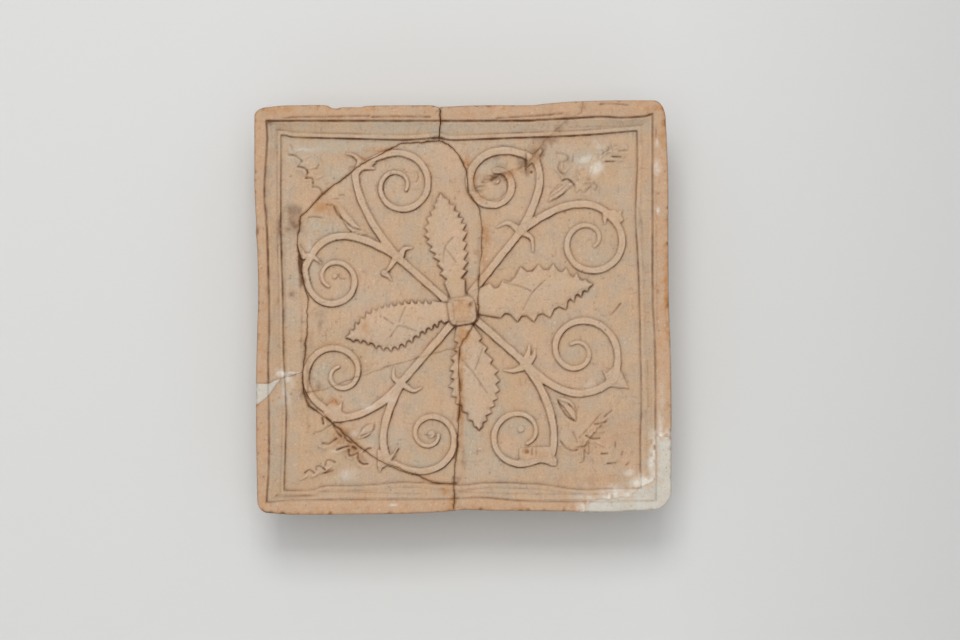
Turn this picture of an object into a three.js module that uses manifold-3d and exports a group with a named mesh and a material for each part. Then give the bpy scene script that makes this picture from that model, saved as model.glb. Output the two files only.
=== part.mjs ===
// A square relief stove tile of fired clay, broken into sherds and put together again with plaster.
// The face is worked out flat: x to the right, y up the face, z towards the room, field at z = 0.
// The group turns it upright, with its face towards -Y and the origin on the collar's rear rim.

import * as THREE from 'three';
import { mergeVertices } from 'three/addons/utils/BufferGeometryUtils.js';
import Module from 'manifold-3d';

const wasm = await Module();
wasm.setup();

// Face plate, mm
const tileWidth = 219;
const tileHeight = 217;
const plateThickness = 10; // from the field to the back of the plate
const edgeRound = 1.6; // worn outer arris of the rim
const cornerRadii = [6, 12, 9, 7]; // lower left, lower right, upper right, upper left
const cornerSlips = [[0.6, -0.4], [1.0, 1.4], [-2.2, 2.5], [-1.3, -0.9]]; // hand-pressed, not quite square
const edgeSways = [[-0.2, 0, 0.7], [0.75, 0, 0.35], [-1.1, 0.3, 0], [-0.4, -0.45, 0.6]]; // one to three waves
const rimWidths = [6.4, 8.5, 8.7, 6.1]; // bottom, right, top, left
const bandWidths = [6.4, 7.7, 8.6, 7.0];
const rimHeight = 6.0; // all heights are above the field
const rimInnerHeight = 5.2;
const grooveHeight = 1.6;
const grooveWidth = 0.9;
const bandHeight = 3.4;
const bandHollow = 2.1;
const ridgeHeight = 2.8;
const ridgeWidth = 1.2;

// Collar behind the plate, open at the back, that the stove builder packs with clay
const collarInset = 6; // plate edge to the collar's outer face
const collarWall = 8.5;
const collarDepth = 45; // from the plate's back to the rear rim
const collarDraft = 1.0; // the wall is this much thinner at the rear rim
const collarCorner = 8;
const cove = 6; // clay smeared into the corner between collar and plate

// Relief heights and widths
const bossHeight = 6.6;
const bossCrown = 1.4;
const stemWidth = 3.9;
const stemHeight = 2.6;
const scrollEndWidth = 1.9;
const scrollEndHeight = 1.5;
const hornWidth = 2.6;
const hornTipWidth = 0.7;
const hornHeight = 2.0;
const calyxWidth = 3.4;
const knobRadius = 2.0;
const knobHeight = 2.4;
const leafHeight = 4.0;
const leafEdge = 1.9;
const budHeight = 1.9;
const budEdge = 0.9;
const cornerLeafHeight = 1.7;
const cornerLeafEdge = 0.8;
const sink = 1.5; // how far every raised form runs down into the plate

// Proportions of the carving
const shoulderShare = 0.62; // height of a ribbon's shoulders to its crown
const toothRake = 0.45; // a tooth's point leans towards the leaf's tip by this share of its own length
const leafFullness = 0.8; // under 1 keeps a leaf broad towards its tip
const leafShoulder = { inward: 0.72, upward: 0.7 }; // where a leaf's dome turns over, out and up
const tipRound = 0.12; // how far the dome's ridge stops short of the tip

// Damage and repair
const chip = { at: -62.5, length: 12, floor: 3.4 }; // a flake lost from the top edge, down to its floor
const crackGap = 0.6;
const fillGap = 0.4; // between a plaster fill and the clay round it
const cutMargin = 11; // how far a cut runs on past the tile's edge

// Places on the face are shares of the half width and half height, in hundredths
const halfWidth = tileWidth / 2;
const halfHeight = tileHeight / 2;
const rearPlane = -plateThickness - collarDepth;
const insidePlate = -plateThickness / 2;

const place = ([across, up]) => new THREE.Vector2((across * halfWidth) / 100, (up * halfHeight) / 100);
const ofWidth = (share) => (share * halfWidth) / 100;
const lifted = (point, height) => new THREE.Vector3(point.x, point.y, height);
const turned = (vector, degrees) => vector.clone()
  .rotateAround(new THREE.Vector2(), THREE.MathUtils.degToRad(degrees));

// Solids from closed triangle meshes, and back again

const mergeDistance = 1e-4;

function solidOf(geometry) {
  const bare = geometry.index ? geometry.toNonIndexed() : geometry;
  bare.deleteAttribute('normal');
  bare.deleteAttribute('uv');
  const merged = mergeVertices(bare, mergeDistance);
  const triVerts = [];
  for (let i = 0; i < merged.index.count; i += 3) {
    const [a, b, c] = [0, 1, 2].map((k) => merged.index.getX(i + k));
    if (a !== b && b !== c && c !== a) triVerts.push(a, b, c);
  }
  return new wasm.Manifold(new wasm.Mesh({
    numProp: 3,
    vertProperties: new Float32Array(merged.getAttribute('position').array),
    triVerts: new Uint32Array(triVerts),
  }));
}

function geometryOf(solid) {
  const mesh = solid.getMesh();
  const geometry = new THREE.BufferGeometry();
  geometry.setAttribute('position', new THREE.BufferAttribute(new Float32Array(mesh.vertProperties), 3));
  geometry.setIndex(new THREE.BufferAttribute(new Uint32Array(mesh.triVerts), 1));
  geometry.computeVertexNormals();
  return geometry;
}

// Skin a row of rings that hold equally many points; each ring runs anticlockwise seen from the last one
function loft(rings, closeEnd = true) {
  const count = rings[0].length;
  const corners = [];
  const centreOf = (ring) => ring.reduce((sum, p) => sum.add(p), new THREE.Vector3()).divideScalar(count);
  const first = rings[0];
  const last = rings[rings.length - 1];
  for (let i = 0; i < count; i++) {
    const j = (i + 1) % count;
    for (let k = 0; k + 1 < rings.length; k++) {
      corners.push(rings[k][i], rings[k][j], rings[k + 1][j]);
      corners.push(rings[k][i], rings[k + 1][j], rings[k + 1][i]);
    }
    corners.push(centreOf(first), first[j], first[i]);
    if (closeEnd) corners.push(centreOf(last), last[i], last[j]);
  }
  return solidOf(new THREE.BufferGeometry().setFromPoints(corners));
}

// A straight prism on a flat outline, between two heights
function prism(outline, low, high) {
  const shape = new THREE.Shape(outline);
  const geometry = new THREE.ExtrudeGeometry(shape, { depth: high - low, bevelEnabled: false });
  geometry.translate(0, 0, low);
  return solidOf(geometry);
}

// Move every point of an anticlockwise loop inwards by one distance
function shrink(loop, distance) {
  return loop.map((point, i) => {
    const before = point.clone().sub(loop.at(i - 1)).normalize();
    const after = loop[(i + 1) % loop.length].clone().sub(point).normalize();
    const inward = new THREE.Vector2(-before.y - after.y, before.x + after.x);
    return point.clone().addScaledVector(inward, distance / (1 + before.dot(after)));
  });
}

// Plate and frame: rings that follow the plate's edge, each set in from it by its own four widths

const sideSteps = 8;
const cornerSteps = 3;
const sharpestCorner = 1; // radius
const nominalCorners = [[-1, -1], [1, -1], [1, 1], [-1, 1]].map(([right, up], i) => new THREE.Vector2(
  right * halfWidth + cornerSlips[i][0],
  up * halfHeight + cornerSlips[i][1],
));

function crossing(point, direction, other, otherDirection) {
  const reach = other.clone().sub(point).cross(otherDirection) / direction.cross(otherDirection);
  return point.clone().addScaledVector(direction, reach);
}

function frameRing(insets, sway, radii, height) {
  const sides = nominalCorners.map((corner, i) => {
    const along = nominalCorners[(i + 1) % 4].clone().sub(corner).normalize();
    const outward = new THREE.Vector2(along.y, -along.x);
    return { along, outward, start: corner.clone().addScaledVector(outward, -insets[i]) };
  });
  const corners = sides.map((side, i) => {
    const before = sides.at(i - 1);
    return crossing(before.start, before.along, side.start, side.along);
  });
  const runs = sides.map((side, i) => {
    const from = corners[i];
    const length = corners[(i + 1) % 4].distanceTo(from);
    const [radius, endRadius] = [radii[i], radii[(i + 1) % 4]];
    return Array.from({ length: sideSteps + 1 }, (_, k) => {
      const way = radius + ((length - radius - endRadius) * k) / sideSteps;
      const phase = (Math.PI * way) / length;
      const swing = edgeSways[i].reduce((sum, size, wave) => sum + size * Math.sin((wave + 1) * phase), 0);
      return from.clone().addScaledVector(side.along, way).addScaledVector(side.outward, swing * sway);
    });
  });
  const ring = runs.flatMap((run, i) => {
    const arc = new THREE.QuadraticBezierCurve(runs.at(i - 1).at(-1), corners[i], run[0]);
    return [...arc.getPoints(cornerSteps).slice(1, -1), ...run];
  });
  return ring.map((point) => lifted(point, height));
}

// The way in across the frame: 0 is the edge, 1 the rim's inner line, 2 where the field begins
const way = { edge: 0, rimFalls: 0.8, rimLine: 1, bandHollow: 1.55, field: 2 };
const swayLost = 1 / 3; // share of the edge's sway that is gone at the rim's inner line

function frameAt(across, height, extra = 0) {
  const insets = rimWidths.map((rim, i) => (
    extra + (across <= 1 ? across * rim : rim + (across - 1) * bandWidths[i])));
  const radii = cornerRadii.map((radius) => Math.max(radius * (1 - across), sharpestCorner));
  return frameRing(insets, 1 - across * swayLost, radii, height);
}

function plateAndFrame() {
  return loft([
    frameAt(way.edge, -plateThickness),
    frameAt(way.edge, rimHeight - edgeRound),
    frameAt(way.edge, rimHeight, edgeRound),
    frameAt(way.rimFalls, rimInnerHeight),
    frameAt(way.rimLine, grooveHeight),
    frameAt(way.rimLine, grooveHeight, grooveWidth / 2),
    frameAt(way.rimLine, bandHeight, grooveWidth),
    frameAt(way.bandHollow, bandHollow),
    frameAt(way.field, ridgeHeight, -ridgeWidth),
    frameAt(way.field, 0),
  ]);
}

function collarRing(inset, height) {
  const radius = Math.max(collarCorner - inset / 2, sharpestCorner);
  const [x, y] = [halfWidth - collarInset - inset, halfHeight - collarInset - inset];
  const outline = new THREE.Shape();
  [[1, -1], [1, 1], [-1, 1], [-1, -1]].forEach(([right, up], i) => {
    const start = ((i - 1) * Math.PI) / 2;
    outline.absarc(right * (x - radius), up * (y - radius), radius, start, start + Math.PI / 2);
  });
  return outline.getPoints(cornerSteps).slice(0, -1).map((point) => lifted(point, height));
}

function collar() {
  const outer = loft([collarRing(0, rearPlane), collarRing(0, insidePlate)]);
  const hollow = loft([
    collarRing(collarWall - collarDraft, rearPlane - 1),
    collarRing(collarWall - collarDraft, rearPlane),
    collarRing(collarWall, -plateThickness - cove),
    collarRing(collarWall + cove, -plateThickness),
  ]);
  return outer.subtract(hollow);
}

// Raised forms

// A ribbon along a path: flat feet, shoulders and a crown, narrowing and sinking towards its end
function ribbon(path, widths, heights) {
  const rings = path.map((point, i) => {
    const ahead = path[Math.min(i + 1, path.length - 1)];
    const along = ahead.clone().sub(path[Math.max(i - 1, 0)]).normalize();
    const share = i / (path.length - 1);
    const half = THREE.MathUtils.lerp(widths[0], widths[1], share) / 2;
    const crown = THREE.MathUtils.lerp(heights[0], heights[1], share);
    const shoulder = crown * shoulderShare;
    const section = [[-half, -sink], [half, -sink], [half, shoulder], [0, crown], [-half, shoulder]];
    return section.map(([aside, up]) => new THREE.Vector3(
      point.x - along.y * aside,
      point.y + along.x * aside,
      up,
    ));
  });
  return loft(rings);
}

const bentPath = (from, bend, to, steps) => new THREE.QuadraticBezierCurve(from, bend, to).getPoints(steps);

// A spiral whose radius falls and whose eye drifts as it winds
const eyeOf = (scroll, share) => place(scroll.eye).add(place(scroll.drift).multiplyScalar(share));

function spiralPath(scroll, steps) {
  return Array.from({ length: steps + 1 }, (_, i) => {
    const share = i / steps;
    const radius = ofWidth(THREE.MathUtils.lerp(...scroll.radius, share ** scroll.ease));
    const spoke = turned(new THREE.Vector2(radius, 0), scroll.start + scroll.sweep * share);
    return eyeOf(scroll, share).add(spoke);
  });
}

// A domed leaf on a slightly bent midrib, its outline cut into teeth that point to the tip.
// Its sizes and places are shares in hundredths; its height and edge are in mm.
function leaf(form, height, edge) {
  const [from, to] = [place(form.base), place(form.tip)];
  const along = to.clone().sub(from);
  const aside = new THREE.Vector2(-along.y, along.x).normalize();
  const bend = ofWidth(form.bend ?? 0);
  const midrib = (share) => from.clone().addScaledVector(along, share)
    .addScaledVector(aside, bend * Math.sin(Math.PI * share));
  const quarterTurn = (part, whole) => (Math.PI / 2) * (part / whole);
  const spread = (share) => (share < form.widestAt
    ? THREE.MathUtils.lerp(form.baseWidth, form.halfWidth, Math.sin(quarterTurn(share, form.widestAt)))
    : form.halfWidth * Math.cos(quarterTurn(share - form.widestAt, 1 - form.widestAt)) ** leafFullness);
  const halfTeeth = 2 * form.teeth;
  const stations = Array.from({ length: halfTeeth }, (_, i) => {
    const share = i / halfTeeth;
    const valley = i % 2 === 0;
    return {
      share: share + (valley ? 0 : toothRake / halfTeeth),
      out: ofWidth(spread(share)) * (valley ? 1 - form.toothDepth / form.halfWidth : 1),
    };
  });
  const flank = (side, inward, raised) => stations.map(({ share, out }) => lifted(
    midrib(share).addScaledVector(aside, side * out * inward),
    raised,
  ));
  const layer = (inward, raised) => [
    ...flank(-1, inward, raised),
    lifted(midrib(1 - (1 - inward) * tipRound), raised),
    ...flank(1, inward, raised).reverse(),
  ];
  const shoulder = layer(leafShoulder.inward, THREE.MathUtils.lerp(edge, height, leafShoulder.upward));
  return loft([layer(1, -sink), layer(1, edge), shoulder, layer(0, height)], false);
}

const knobSides = 8;

function knob(centre) {
  const ring = (radius, height) => Array.from({ length: knobSides }, (_, i) => (
    lifted(centre.clone().add(turned(new THREE.Vector2(radius, 0), (i * 360) / knobSides)), height)));
  return loft([ring(knobRadius, -sink), ring(knobRadius, knobHeight / 2), ring(knobRadius / 2, knobHeight)]);
}

// The boss is a rounded square, turned a little on the face
const boss = { centre: [-0.5, -1], halfSize: 7.4, tilt: 9, squareness: 4 };
const bossSides = 20;

function bossSolid() {
  const ring = (halfSize, height) => Array.from({ length: bossSides }, (_, i) => {
    const degrees = (i * 360) / bossSides;
    const spoke = turned(new THREE.Vector2(1, 0), degrees);
    const reach = Math.abs(spoke.x) ** boss.squareness + Math.abs(spoke.y) ** boss.squareness;
    const radius = halfSize / reach ** (1 / boss.squareness);
    return lifted(place(boss.centre).addScaledVector(turned(spoke, boss.tilt), radius), height);
  });
  const half = ofWidth(boss.halfSize);
  return loft([
    ring(half, -sink),
    ring(half, bossHeight - 2 * bossCrown),
    ring(half - bossCrown / 2, bossHeight - bossCrown / 2),
    ring(half / 2, bossHeight),
  ]);
}

// Four stems run out from the boss; each forks at its node into two branches that curl into scrolls,
// with two small horns at the fork, each by its bend and its tip
const stems = {
  upperLeft: {
    root: [-9, 5],
    node: [-32.5, 26],
    horns: [[[-29, 29.5], [-24.5, 30.5]], [[-35, 21], [-37, 16]]],
  },
  upperRight: {
    root: [4, 8],
    node: [28, 38],
    horns: [[[22, 43.5], [16, 40]], [[34, 35], [34.5, 28]]],
  },
  lowerRight: {
    root: [6, -5],
    node: [29, -25.5],
    horns: [[[35, -20.5], [32, -16.5]], [[26, -32], [20, -30]]],
  },
  lowerLeft: {
    root: [-6, -8],
    node: [-29.5, -35.5],
    horns: [[[-37, -32.5], [-33, -27.5]], [[-25, -40.5], [-20, -38]]],
  },
};

const scrolls = [
  { stem: 'upperLeft', bend: [-52, 50], turn: [-52.5, 67],
    eye: [-29.5, 60], drift: [-3, 0], radius: [20, 5], start: 140, sweep: -525, ease: 0.6 },
  { stem: 'upperLeft', bend: [-60.5, 44], turn: [-72, 29],
    eye: [-61.5, 13.5], drift: [-1, 2.5], radius: [17, 5.5], start: 160, sweep: 445, ease: 0.5, knob: true },
  { stem: 'upperRight', bend: [42, 63], turn: [35, 73],
    eye: [16.5, 60], drift: [1.5, 1.5], radius: [20.5, 5.5], start: 50, sweep: 400, ease: 0.65, knob: true },
  { stem: 'upperRight', bend: [53.5, 58.5], turn: [69, 48],
    eye: [62, 31.5], drift: [-1.5, 2], radius: [16.5, 4], start: 55, sweep: -460, ease: 1.15 },
  { stem: 'lowerRight', bend: [50, -47.5], turn: [66.5, -39],
    eye: [57, -19.5], drift: [-3, -1.5], radius: [22.5, 4], start: -40, sweep: 520, ease: 0.55 },
  { stem: 'lowerRight', bend: [47.5, -49.5], turn: [43.5, -71],
    eye: [24.5, -63], drift: [3.5, 4], radius: [20, 7.5], start: -35, sweep: -395, ease: 0.3, knob: true },
  { stem: 'lowerLeft', bend: [-41.5, -52], turn: [-62, -54],
    eye: [-62, -30.5], drift: [3.5, -1.5], radius: [20, 4], start: -100, sweep: -510, ease: 0.6 },
  { stem: 'lowerLeft', bend: [-43.5, -61.5], turn: [-36.5, -73.5],
    eye: [-17, -63], drift: [1.5, 1.5], radius: [24, 3.5], start: -150, sweep: 515, ease: 0.45, knob: true },
];

const hornSteps = 3;
const branchSteps = 5;
const spiralStepDegrees = 24;

// Where a branch turns over into its scroll it wears a calyx: an outer and an inner tip, turned from its way
const calyx = [{ reach: 7.4, turn: 25 }, { reach: 5.5, turn: 255 }];

function stemParts({ root, node, horns }) {
  const parts = [ribbon([place(root), place(node)], [stemWidth, stemWidth], [stemHeight, stemHeight])];
  for (const [bend, tip] of horns) {
    const path = bentPath(place(node), place(bend), place(tip), hornSteps);
    parts.push(ribbon(path, [hornWidth, hornTipWidth], [hornHeight, hornHeight / 2]));
  }
  return parts;
}

function scrollParts(scroll) {
  const { node } = stems[scroll.stem];
  const branch = bentPath(place(node), place(scroll.bend), place(scroll.turn), branchSteps);
  const spiral = spiralPath(scroll, Math.round(Math.abs(scroll.sweep) / spiralStepDegrees));
  const parts = [ribbon([...branch, ...spiral], [stemWidth, scrollEndWidth], [stemHeight, scrollEndHeight])];
  const end = branch.at(-1);
  const onward = end.clone().sub(branch.at(-2)).normalize();
  const outside = -Math.sign(scroll.sweep);
  const root = end.clone().lerp(spiral[0], 0.5);
  for (const { reach, turn } of calyx) {
    const path = [root, root.clone().addScaledVector(turned(onward, turn * outside), reach)];
    parts.push(ribbon(path, [calyxWidth, hornTipWidth], [hornHeight, hornHeight / 2]));
  }
  if (scroll.knob) parts.push(knob(eyeOf(scroll, 1)));
  return parts;
}

const mainLeaves = [
  { base: [-3.5, 6], tip: [-11, 56.5], halfWidth: 10, baseWidth: 3.5, widestAt: 0.55,
    teeth: 11, toothDepth: 2 },
  { base: [-6, -1], tip: [-57, -14], halfWidth: 9.8, baseWidth: 4.5, widestAt: 0.48,
    teeth: 12, toothDepth: 2 },
  { base: [6, 3], tip: [65, 13.5], halfWidth: 12, baseWidth: 5.5, widestAt: 0.5,
    teeth: 7, toothDepth: 3.4 },
  { base: [1, -9], tip: [7.5, -59], bend: 2, halfWidth: 11.8, baseWidth: 5.5, widestAt: 0.5,
    teeth: 10, toothDepth: 2.6 },
];

const buds = [
  { base: [-47, 36.5], tip: [-61.5, 52.5] },
  { base: [41.5, 53], tip: [54, 62] },
  { base: [45.5, -44], tip: [55.5, -55.5] },
  { base: [-43, -56], tip: [-51.5, -63] },
].map((bud) => ({ ...bud, halfWidth: 2.6, baseWidth: 0.6, widestAt: 0.5, teeth: 3, toothDepth: 0 }));

const cornerLeaves = [
  { base: [-60.5, 51], tip: [-84.5, 81], halfWidth: 6, baseWidth: 3 },
  { base: [53, 55], tip: [83.5, 84], halfWidth: 7, baseWidth: 3 },
  { base: [54.5, -56], tip: [83, -84.5], halfWidth: 9, baseWidth: 4 },
  { base: [-55.5, -56], tip: [-79.5, -83], halfWidth: 8, baseWidth: 4 },
].map((cornerLeaf) => ({ ...cornerLeaf, widestAt: 0.45, teeth: 5, toothDepth: 3.2 }));

function chipSolid() {
  const deepest = new THREE.Vector2(ofWidth(chip.at), halfHeight - chip.floor);
  const corners = [[-chip.length / 2, chip.floor], [0, 0], [chip.length / 2, chip.floor]];
  const outline = corners.map((corner) => new THREE.Vector2(...corner).add(deepest));
  return prism(outline, insidePlate, above);
}

function wholeTile() {
  const raised = [
    ...Object.values(stems).flatMap(stemParts),
    ...scrolls.flatMap(scrollParts),
    ...mainLeaves.map((form) => leaf(form, leafHeight, leafEdge)),
    ...buds.map((form) => leaf(form, budHeight, budEdge)),
    ...cornerLeaves.map((form) => leaf(form, cornerLeafHeight, cornerLeafEdge)),
    bossSolid(),
  ];
  return raised.reduce((tile, form) => tile.add(form), plateAndFrame().add(collar())).subtract(chipSolid());
}

// Where it broke: each crack is a route on the face, named for where it runs

const beyond = 100 * (1 + cutMargin / halfWidth); // outside the tile on every side
const topCrack = [[-11.5, beyond], [-11, 93.5], [-12, 82.5]];
const bottomCrack = [[-4.5, -85.5], [-4, -beyond]];
const upperLeftArc = [[-12, 82.5], [-30.5, 81], [-49.5, 71], [-68.5, 56], [-79, 45], [-80.5, 33.5],
  [-78.5, 18], [-75.5, 4.5], [-76, -12.5], [-78, -31]];
const lowerLeftArc = [[-77.5, -41], [-71.5, -49], [-57.5, -60], [-41, -75], [-23, -81], [-14.5, -85.5]];
const centreUpper = [[-7.5, 81], [-1.5, 75], [2, 67]];
const centreFork = [[2.5, 57.5]];
const centreMiddle = [[7.5, 49.5], [9, 41], [9, 29], [7.5, 12.5], [7.5, -4.5], [3.5, -10.5]];
const centreMeeting = [[-1.5, -18.5]];
const centreLower = [[-2, -30], [-1.5, -44.5], [-3, -65.5], [-4, -78.5]];
const thinCrack = [[-69, -40], [-56, -35], [-34, -27.5], [-21, -23.5]];
const upperRightCrack = [[10, 61], [18, 66], [31, 70.5], [39.5, 82.5], [51, 93], [57.5, 96], [58.5, beyond]];
const leftGapTop = [[-beyond, -36.5], [-94, -36.5]];
const leftGapEnd = [[-88.5, -34]];
const leftGapBottom = [[-94, -42.5], [-99.5, -46.5], [-beyond, -46.5]];
const cornerFillEdge = [[58.5, -95.5], [66, -93], [81.5, -92], [86.5, -87], [93, -83.5], [93.5, -62],
  [beyond, -64.5]];

const back = (route) => [...route].reverse();

const sherdOutlines = {
  sherd_top_left: [[-beyond, beyond], ...leftGapTop, ...leftGapEnd, ...back(upperLeftArc),
    ...back(topCrack).slice(1)],
  sherd_bottom_left: [...upperLeftArc.slice(-1), ...leftGapEnd, ...leftGapBottom, [-beyond, -beyond],
    ...back(bottomCrack), ...back(lowerLeftArc)],
  sherd_centre_upper: [...upperLeftArc, ...lowerLeftArc.slice(0, 1), ...thinCrack, ...centreMeeting,
    ...back(centreMiddle), ...centreFork, ...back(centreUpper)],
  sherd_centre_lower: [...lowerLeftArc, ...bottomCrack.slice(0, 1), ...back(centreLower), ...centreMeeting,
    ...back(thinCrack)],
  sherd_top_right: [...topCrack, ...centreUpper, ...centreFork, ...upperRightCrack],
  sherd_right: [...back(upperRightCrack), ...centreFork, ...centreMiddle, ...centreMeeting, ...centreLower,
    ...bottomCrack, [beyond, -beyond], [beyond, beyond]],
};
const leftGapOutline = [...leftGapTop, ...leftGapEnd, ...leftGapBottom];
const cornerFillOutline = [...cornerFillEdge, [beyond, -beyond], [cornerFillEdge[0][0], -beyond]];

const clay = new THREE.MeshStandardMaterial({ color: 0xc4a285, roughness: 0.92, metalness: 0 });
const plaster = new THREE.MeshStandardMaterial({ color: 0xd2cabd, roughness: 0.95, metalness: 0 });

const below = rearPlane - 1;
const above = bossHeight + rimHeight;
const anticlockwise = (loop) => (THREE.ShapeUtils.isClockWise(loop) ? back(loop) : loop);

function cut(outline, gap, low) {
  return prism(shrink(anticlockwise(outline.map(place)), gap / 2), low, above);
}

// Forms that cross leave specks of sealed space, so a piece is its largest skin
const outerSkin = (solid) => solid.decompose().reduce((a, b) => (b.volume() > a.volume() ? b : a));

const tile = wholeTile();
const pieces = new Map();
for (const [name, outline] of Object.entries(sherdOutlines)) {
  pieces.set(name, { solid: outerSkin(tile.intersect(cut(outline, crackGap, below))), material: clay });
}
const right = pieces.get('sherd_right');
right.solid = right.solid.subtract(cut(cornerFillOutline, -fillGap, -plateThickness));
pieces.set('plaster_corner', {
  solid: tile.intersect(cut(cornerFillOutline, fillGap, -plateThickness + fillGap)),
  material: plaster,
});
pieces.set('plaster_left_gap', {
  solid: tile.intersect(cut(leftGapOutline, fillGap, below)),
  material: plaster,
});

// Upright: the face looks along -Y, and the origin is in the middle of the lower rear rim
const upright = new THREE.Group();
upright.rotation.x = Math.PI / 2;
const lowerWallMiddle = -(halfHeight - collarInset - (collarWall - collarDraft) / 2);
for (const [name, { solid, material }] of pieces) {
  const mesh = new THREE.Mesh(geometryOf(solid), material);
  mesh.name = name;
  mesh.position.set(0, -lowerWallMiddle, -rearPlane);
  upright.add(mesh);
}

const stoveTile = new THREE.Group();
stoveTile.add(upright);

export default stoveTile;
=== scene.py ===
import math

import bpy
import numpy as np
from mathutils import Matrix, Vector


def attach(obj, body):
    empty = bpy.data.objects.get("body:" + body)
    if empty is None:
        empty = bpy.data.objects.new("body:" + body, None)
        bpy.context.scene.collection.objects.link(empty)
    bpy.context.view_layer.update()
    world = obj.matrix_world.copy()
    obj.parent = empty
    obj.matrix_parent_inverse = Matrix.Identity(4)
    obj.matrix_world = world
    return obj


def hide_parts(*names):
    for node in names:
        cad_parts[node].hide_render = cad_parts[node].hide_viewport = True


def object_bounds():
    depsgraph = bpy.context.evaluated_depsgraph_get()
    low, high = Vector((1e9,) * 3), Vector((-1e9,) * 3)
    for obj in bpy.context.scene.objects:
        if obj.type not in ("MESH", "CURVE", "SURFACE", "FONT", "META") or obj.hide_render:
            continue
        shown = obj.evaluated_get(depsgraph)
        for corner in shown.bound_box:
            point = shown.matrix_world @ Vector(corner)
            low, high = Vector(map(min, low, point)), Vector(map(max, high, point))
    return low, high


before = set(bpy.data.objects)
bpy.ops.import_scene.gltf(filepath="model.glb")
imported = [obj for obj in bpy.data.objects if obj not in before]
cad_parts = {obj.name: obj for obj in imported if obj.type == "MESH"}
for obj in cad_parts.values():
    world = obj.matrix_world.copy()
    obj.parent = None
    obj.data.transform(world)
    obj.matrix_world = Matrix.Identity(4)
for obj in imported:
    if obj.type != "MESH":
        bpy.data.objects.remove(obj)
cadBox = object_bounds()
print("frame loaded,", len(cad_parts), "nodes")

# Lengths are in mm on the tile's face: x to the right, y up, height towards the room from the field
tile = {
    "width": 219.0,
    "height": 217.0,
    "plate": 10.0,
    "collarDepth": 45.0,
    "collarInset": 6.0,
    "collarWall": 8.5,
    "collarDraft": 1.0,
    "collarCorner": 8.0,
    "cove": 6.0,
    "cell": 0.52,  # spacing of the worked surface
    "blank": 113.0,  # the slab it is worked on reaches this far from the middle
}
rearRim = -(tile["plate"] + tile["collarDepth"])
middleHeight = tile["height"] / 2 - tile["collarInset"] - (tile["collarWall"] - tile["collarDraft"]) / 2
reading = {"middle": (463.0, 309.0), "mmPerPixel": 0.53}  # how places read off the view turn into mm


def onFace(pixels):
    # Places read off the front view, right and up from the tile's middle
    return (np.asarray(pixels, float) - reading["middle"]) * (reading["mmPerPixel"], -reading["mmPerPixel"])


def onShares(shares):
    # Places as hundredths of the tile's half width and half height
    return np.asarray(shares, float) * (tile["width"] / 200, tile["height"] / 200)


def inWorld(across, up, height):
    # The face looks along -Y, and the origin is on the collar's lower rear rim
    return np.stack([across, -(height - rearRim), up + middleHeight], -1) / 1000


def smoothStep(value):
    share = np.clip(value, 0, 1)
    return share * share * (3 - 2 * share)


def bump(value):
    return np.exp(-value * value)


def unevenness(across, up, size, seed):
    # Random values from -1 to 1 on a lattice of one size, blended by a smooth step between its corners
    values = np.random.default_rng(seed).uniform(-1, 1, (101, 101))
    u, v = np.asarray(across) / size + 50.5, np.asarray(up) / size + 50.5
    column, row = np.floor(u).astype(int), np.floor(v).astype(int)
    a, b = smoothStep(u - column), smoothStep(v - row)
    corner = [values[(column + i) % 101, (row + j) % 101] for i in (0, 1) for j in (0, 1)]
    return (corner[0] * (1 - b) + corner[1] * b) * (1 - a) + (corner[2] * (1 - b) + corner[3] * b) * a


def evenly(points, step):
    # The same line with its points at equal steps
    points = np.asarray(points, float)
    way = np.concatenate([[0], np.cumsum(np.hypot(*np.diff(points, axis=0).T))])
    at = np.linspace(0, way[-1], max(round(way[-1] / step), 2) + 1)
    return np.stack([np.interp(at, way, points[:, k]) for k in (0, 1)], 1)


def flowing(points, step=0.4):
    # A curve through the points: each stretch is a cubic whose ends lean along their neighbours
    points = np.asarray(points, float)
    padded = np.vstack([points[0], points, points[-1]])
    a, b, c, d = padded[:-3], padded[1:-2], padded[2:-1], padded[3:]
    t = np.linspace(0, 1, 9)[:-1, None, None]
    square, cube = 2 * a - 5 * b + 4 * c - d, 3 * b - a - 3 * c + d
    cubic = (2 * b + (c - a) * t + square * t ** 2 + cube * t ** 3) / 2
    return evenly(np.vstack([cubic.transpose(1, 0, 2).reshape(-1, 2), points[-1]]), step)


# The worked surface is a grid of heights
gridLine = np.arange(-tile["blank"], tile["blank"] + tile["cell"] / 2, tile["cell"])
gridX, gridY = np.meshgrid(gridLine, gridLine)


def windowOf(points, reach):
    # The rows and columns of the grid that lie within a reach of some points
    low, high = (np.searchsorted(gridLine, end) for end in (points.min(0) - reach, points.max(0) + reach))
    return slice(low[1], high[1]), slice(low[0], high[0])


def nearSpot(centre, halves, reach):
    # For the grid round a spot: its window, and the distance from its middle in shares of its half sizes
    area = windowOf(centre[None], reach)
    return area, np.hypot((gridX[area] - centre[0]) / halves[0], (gridY[area] - centre[1]) / halves[1])


def nearPath(path, reach):
    # For the grid round a path: its window, distance to the path, share of the way along, and side of it
    area = windowOf(path, reach)
    offsetX = (gridX[area][..., None] - path[:, 0]).astype(np.float32)
    offsetY = (gridY[area][..., None] - path[:, 1]).astype(np.float32)
    squares = offsetX ** 2 + offsetY ** 2
    nearest = squares.argmin(-1)
    pick = nearest[..., None]
    along = np.gradient(path, axis=0)[nearest]
    offX, offY = (np.take_along_axis(offset, pick, -1)[..., 0] for offset in (offsetX, offsetY))
    side = np.sign(along[..., 0] * offY - along[..., 1] * offX)
    away = np.sqrt(np.take_along_axis(squares, pick, -1)[..., 0])
    return area, away, nearest / (len(path) - 1), side


pathStretch = 60  # points of a path that are measured at a time


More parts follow.
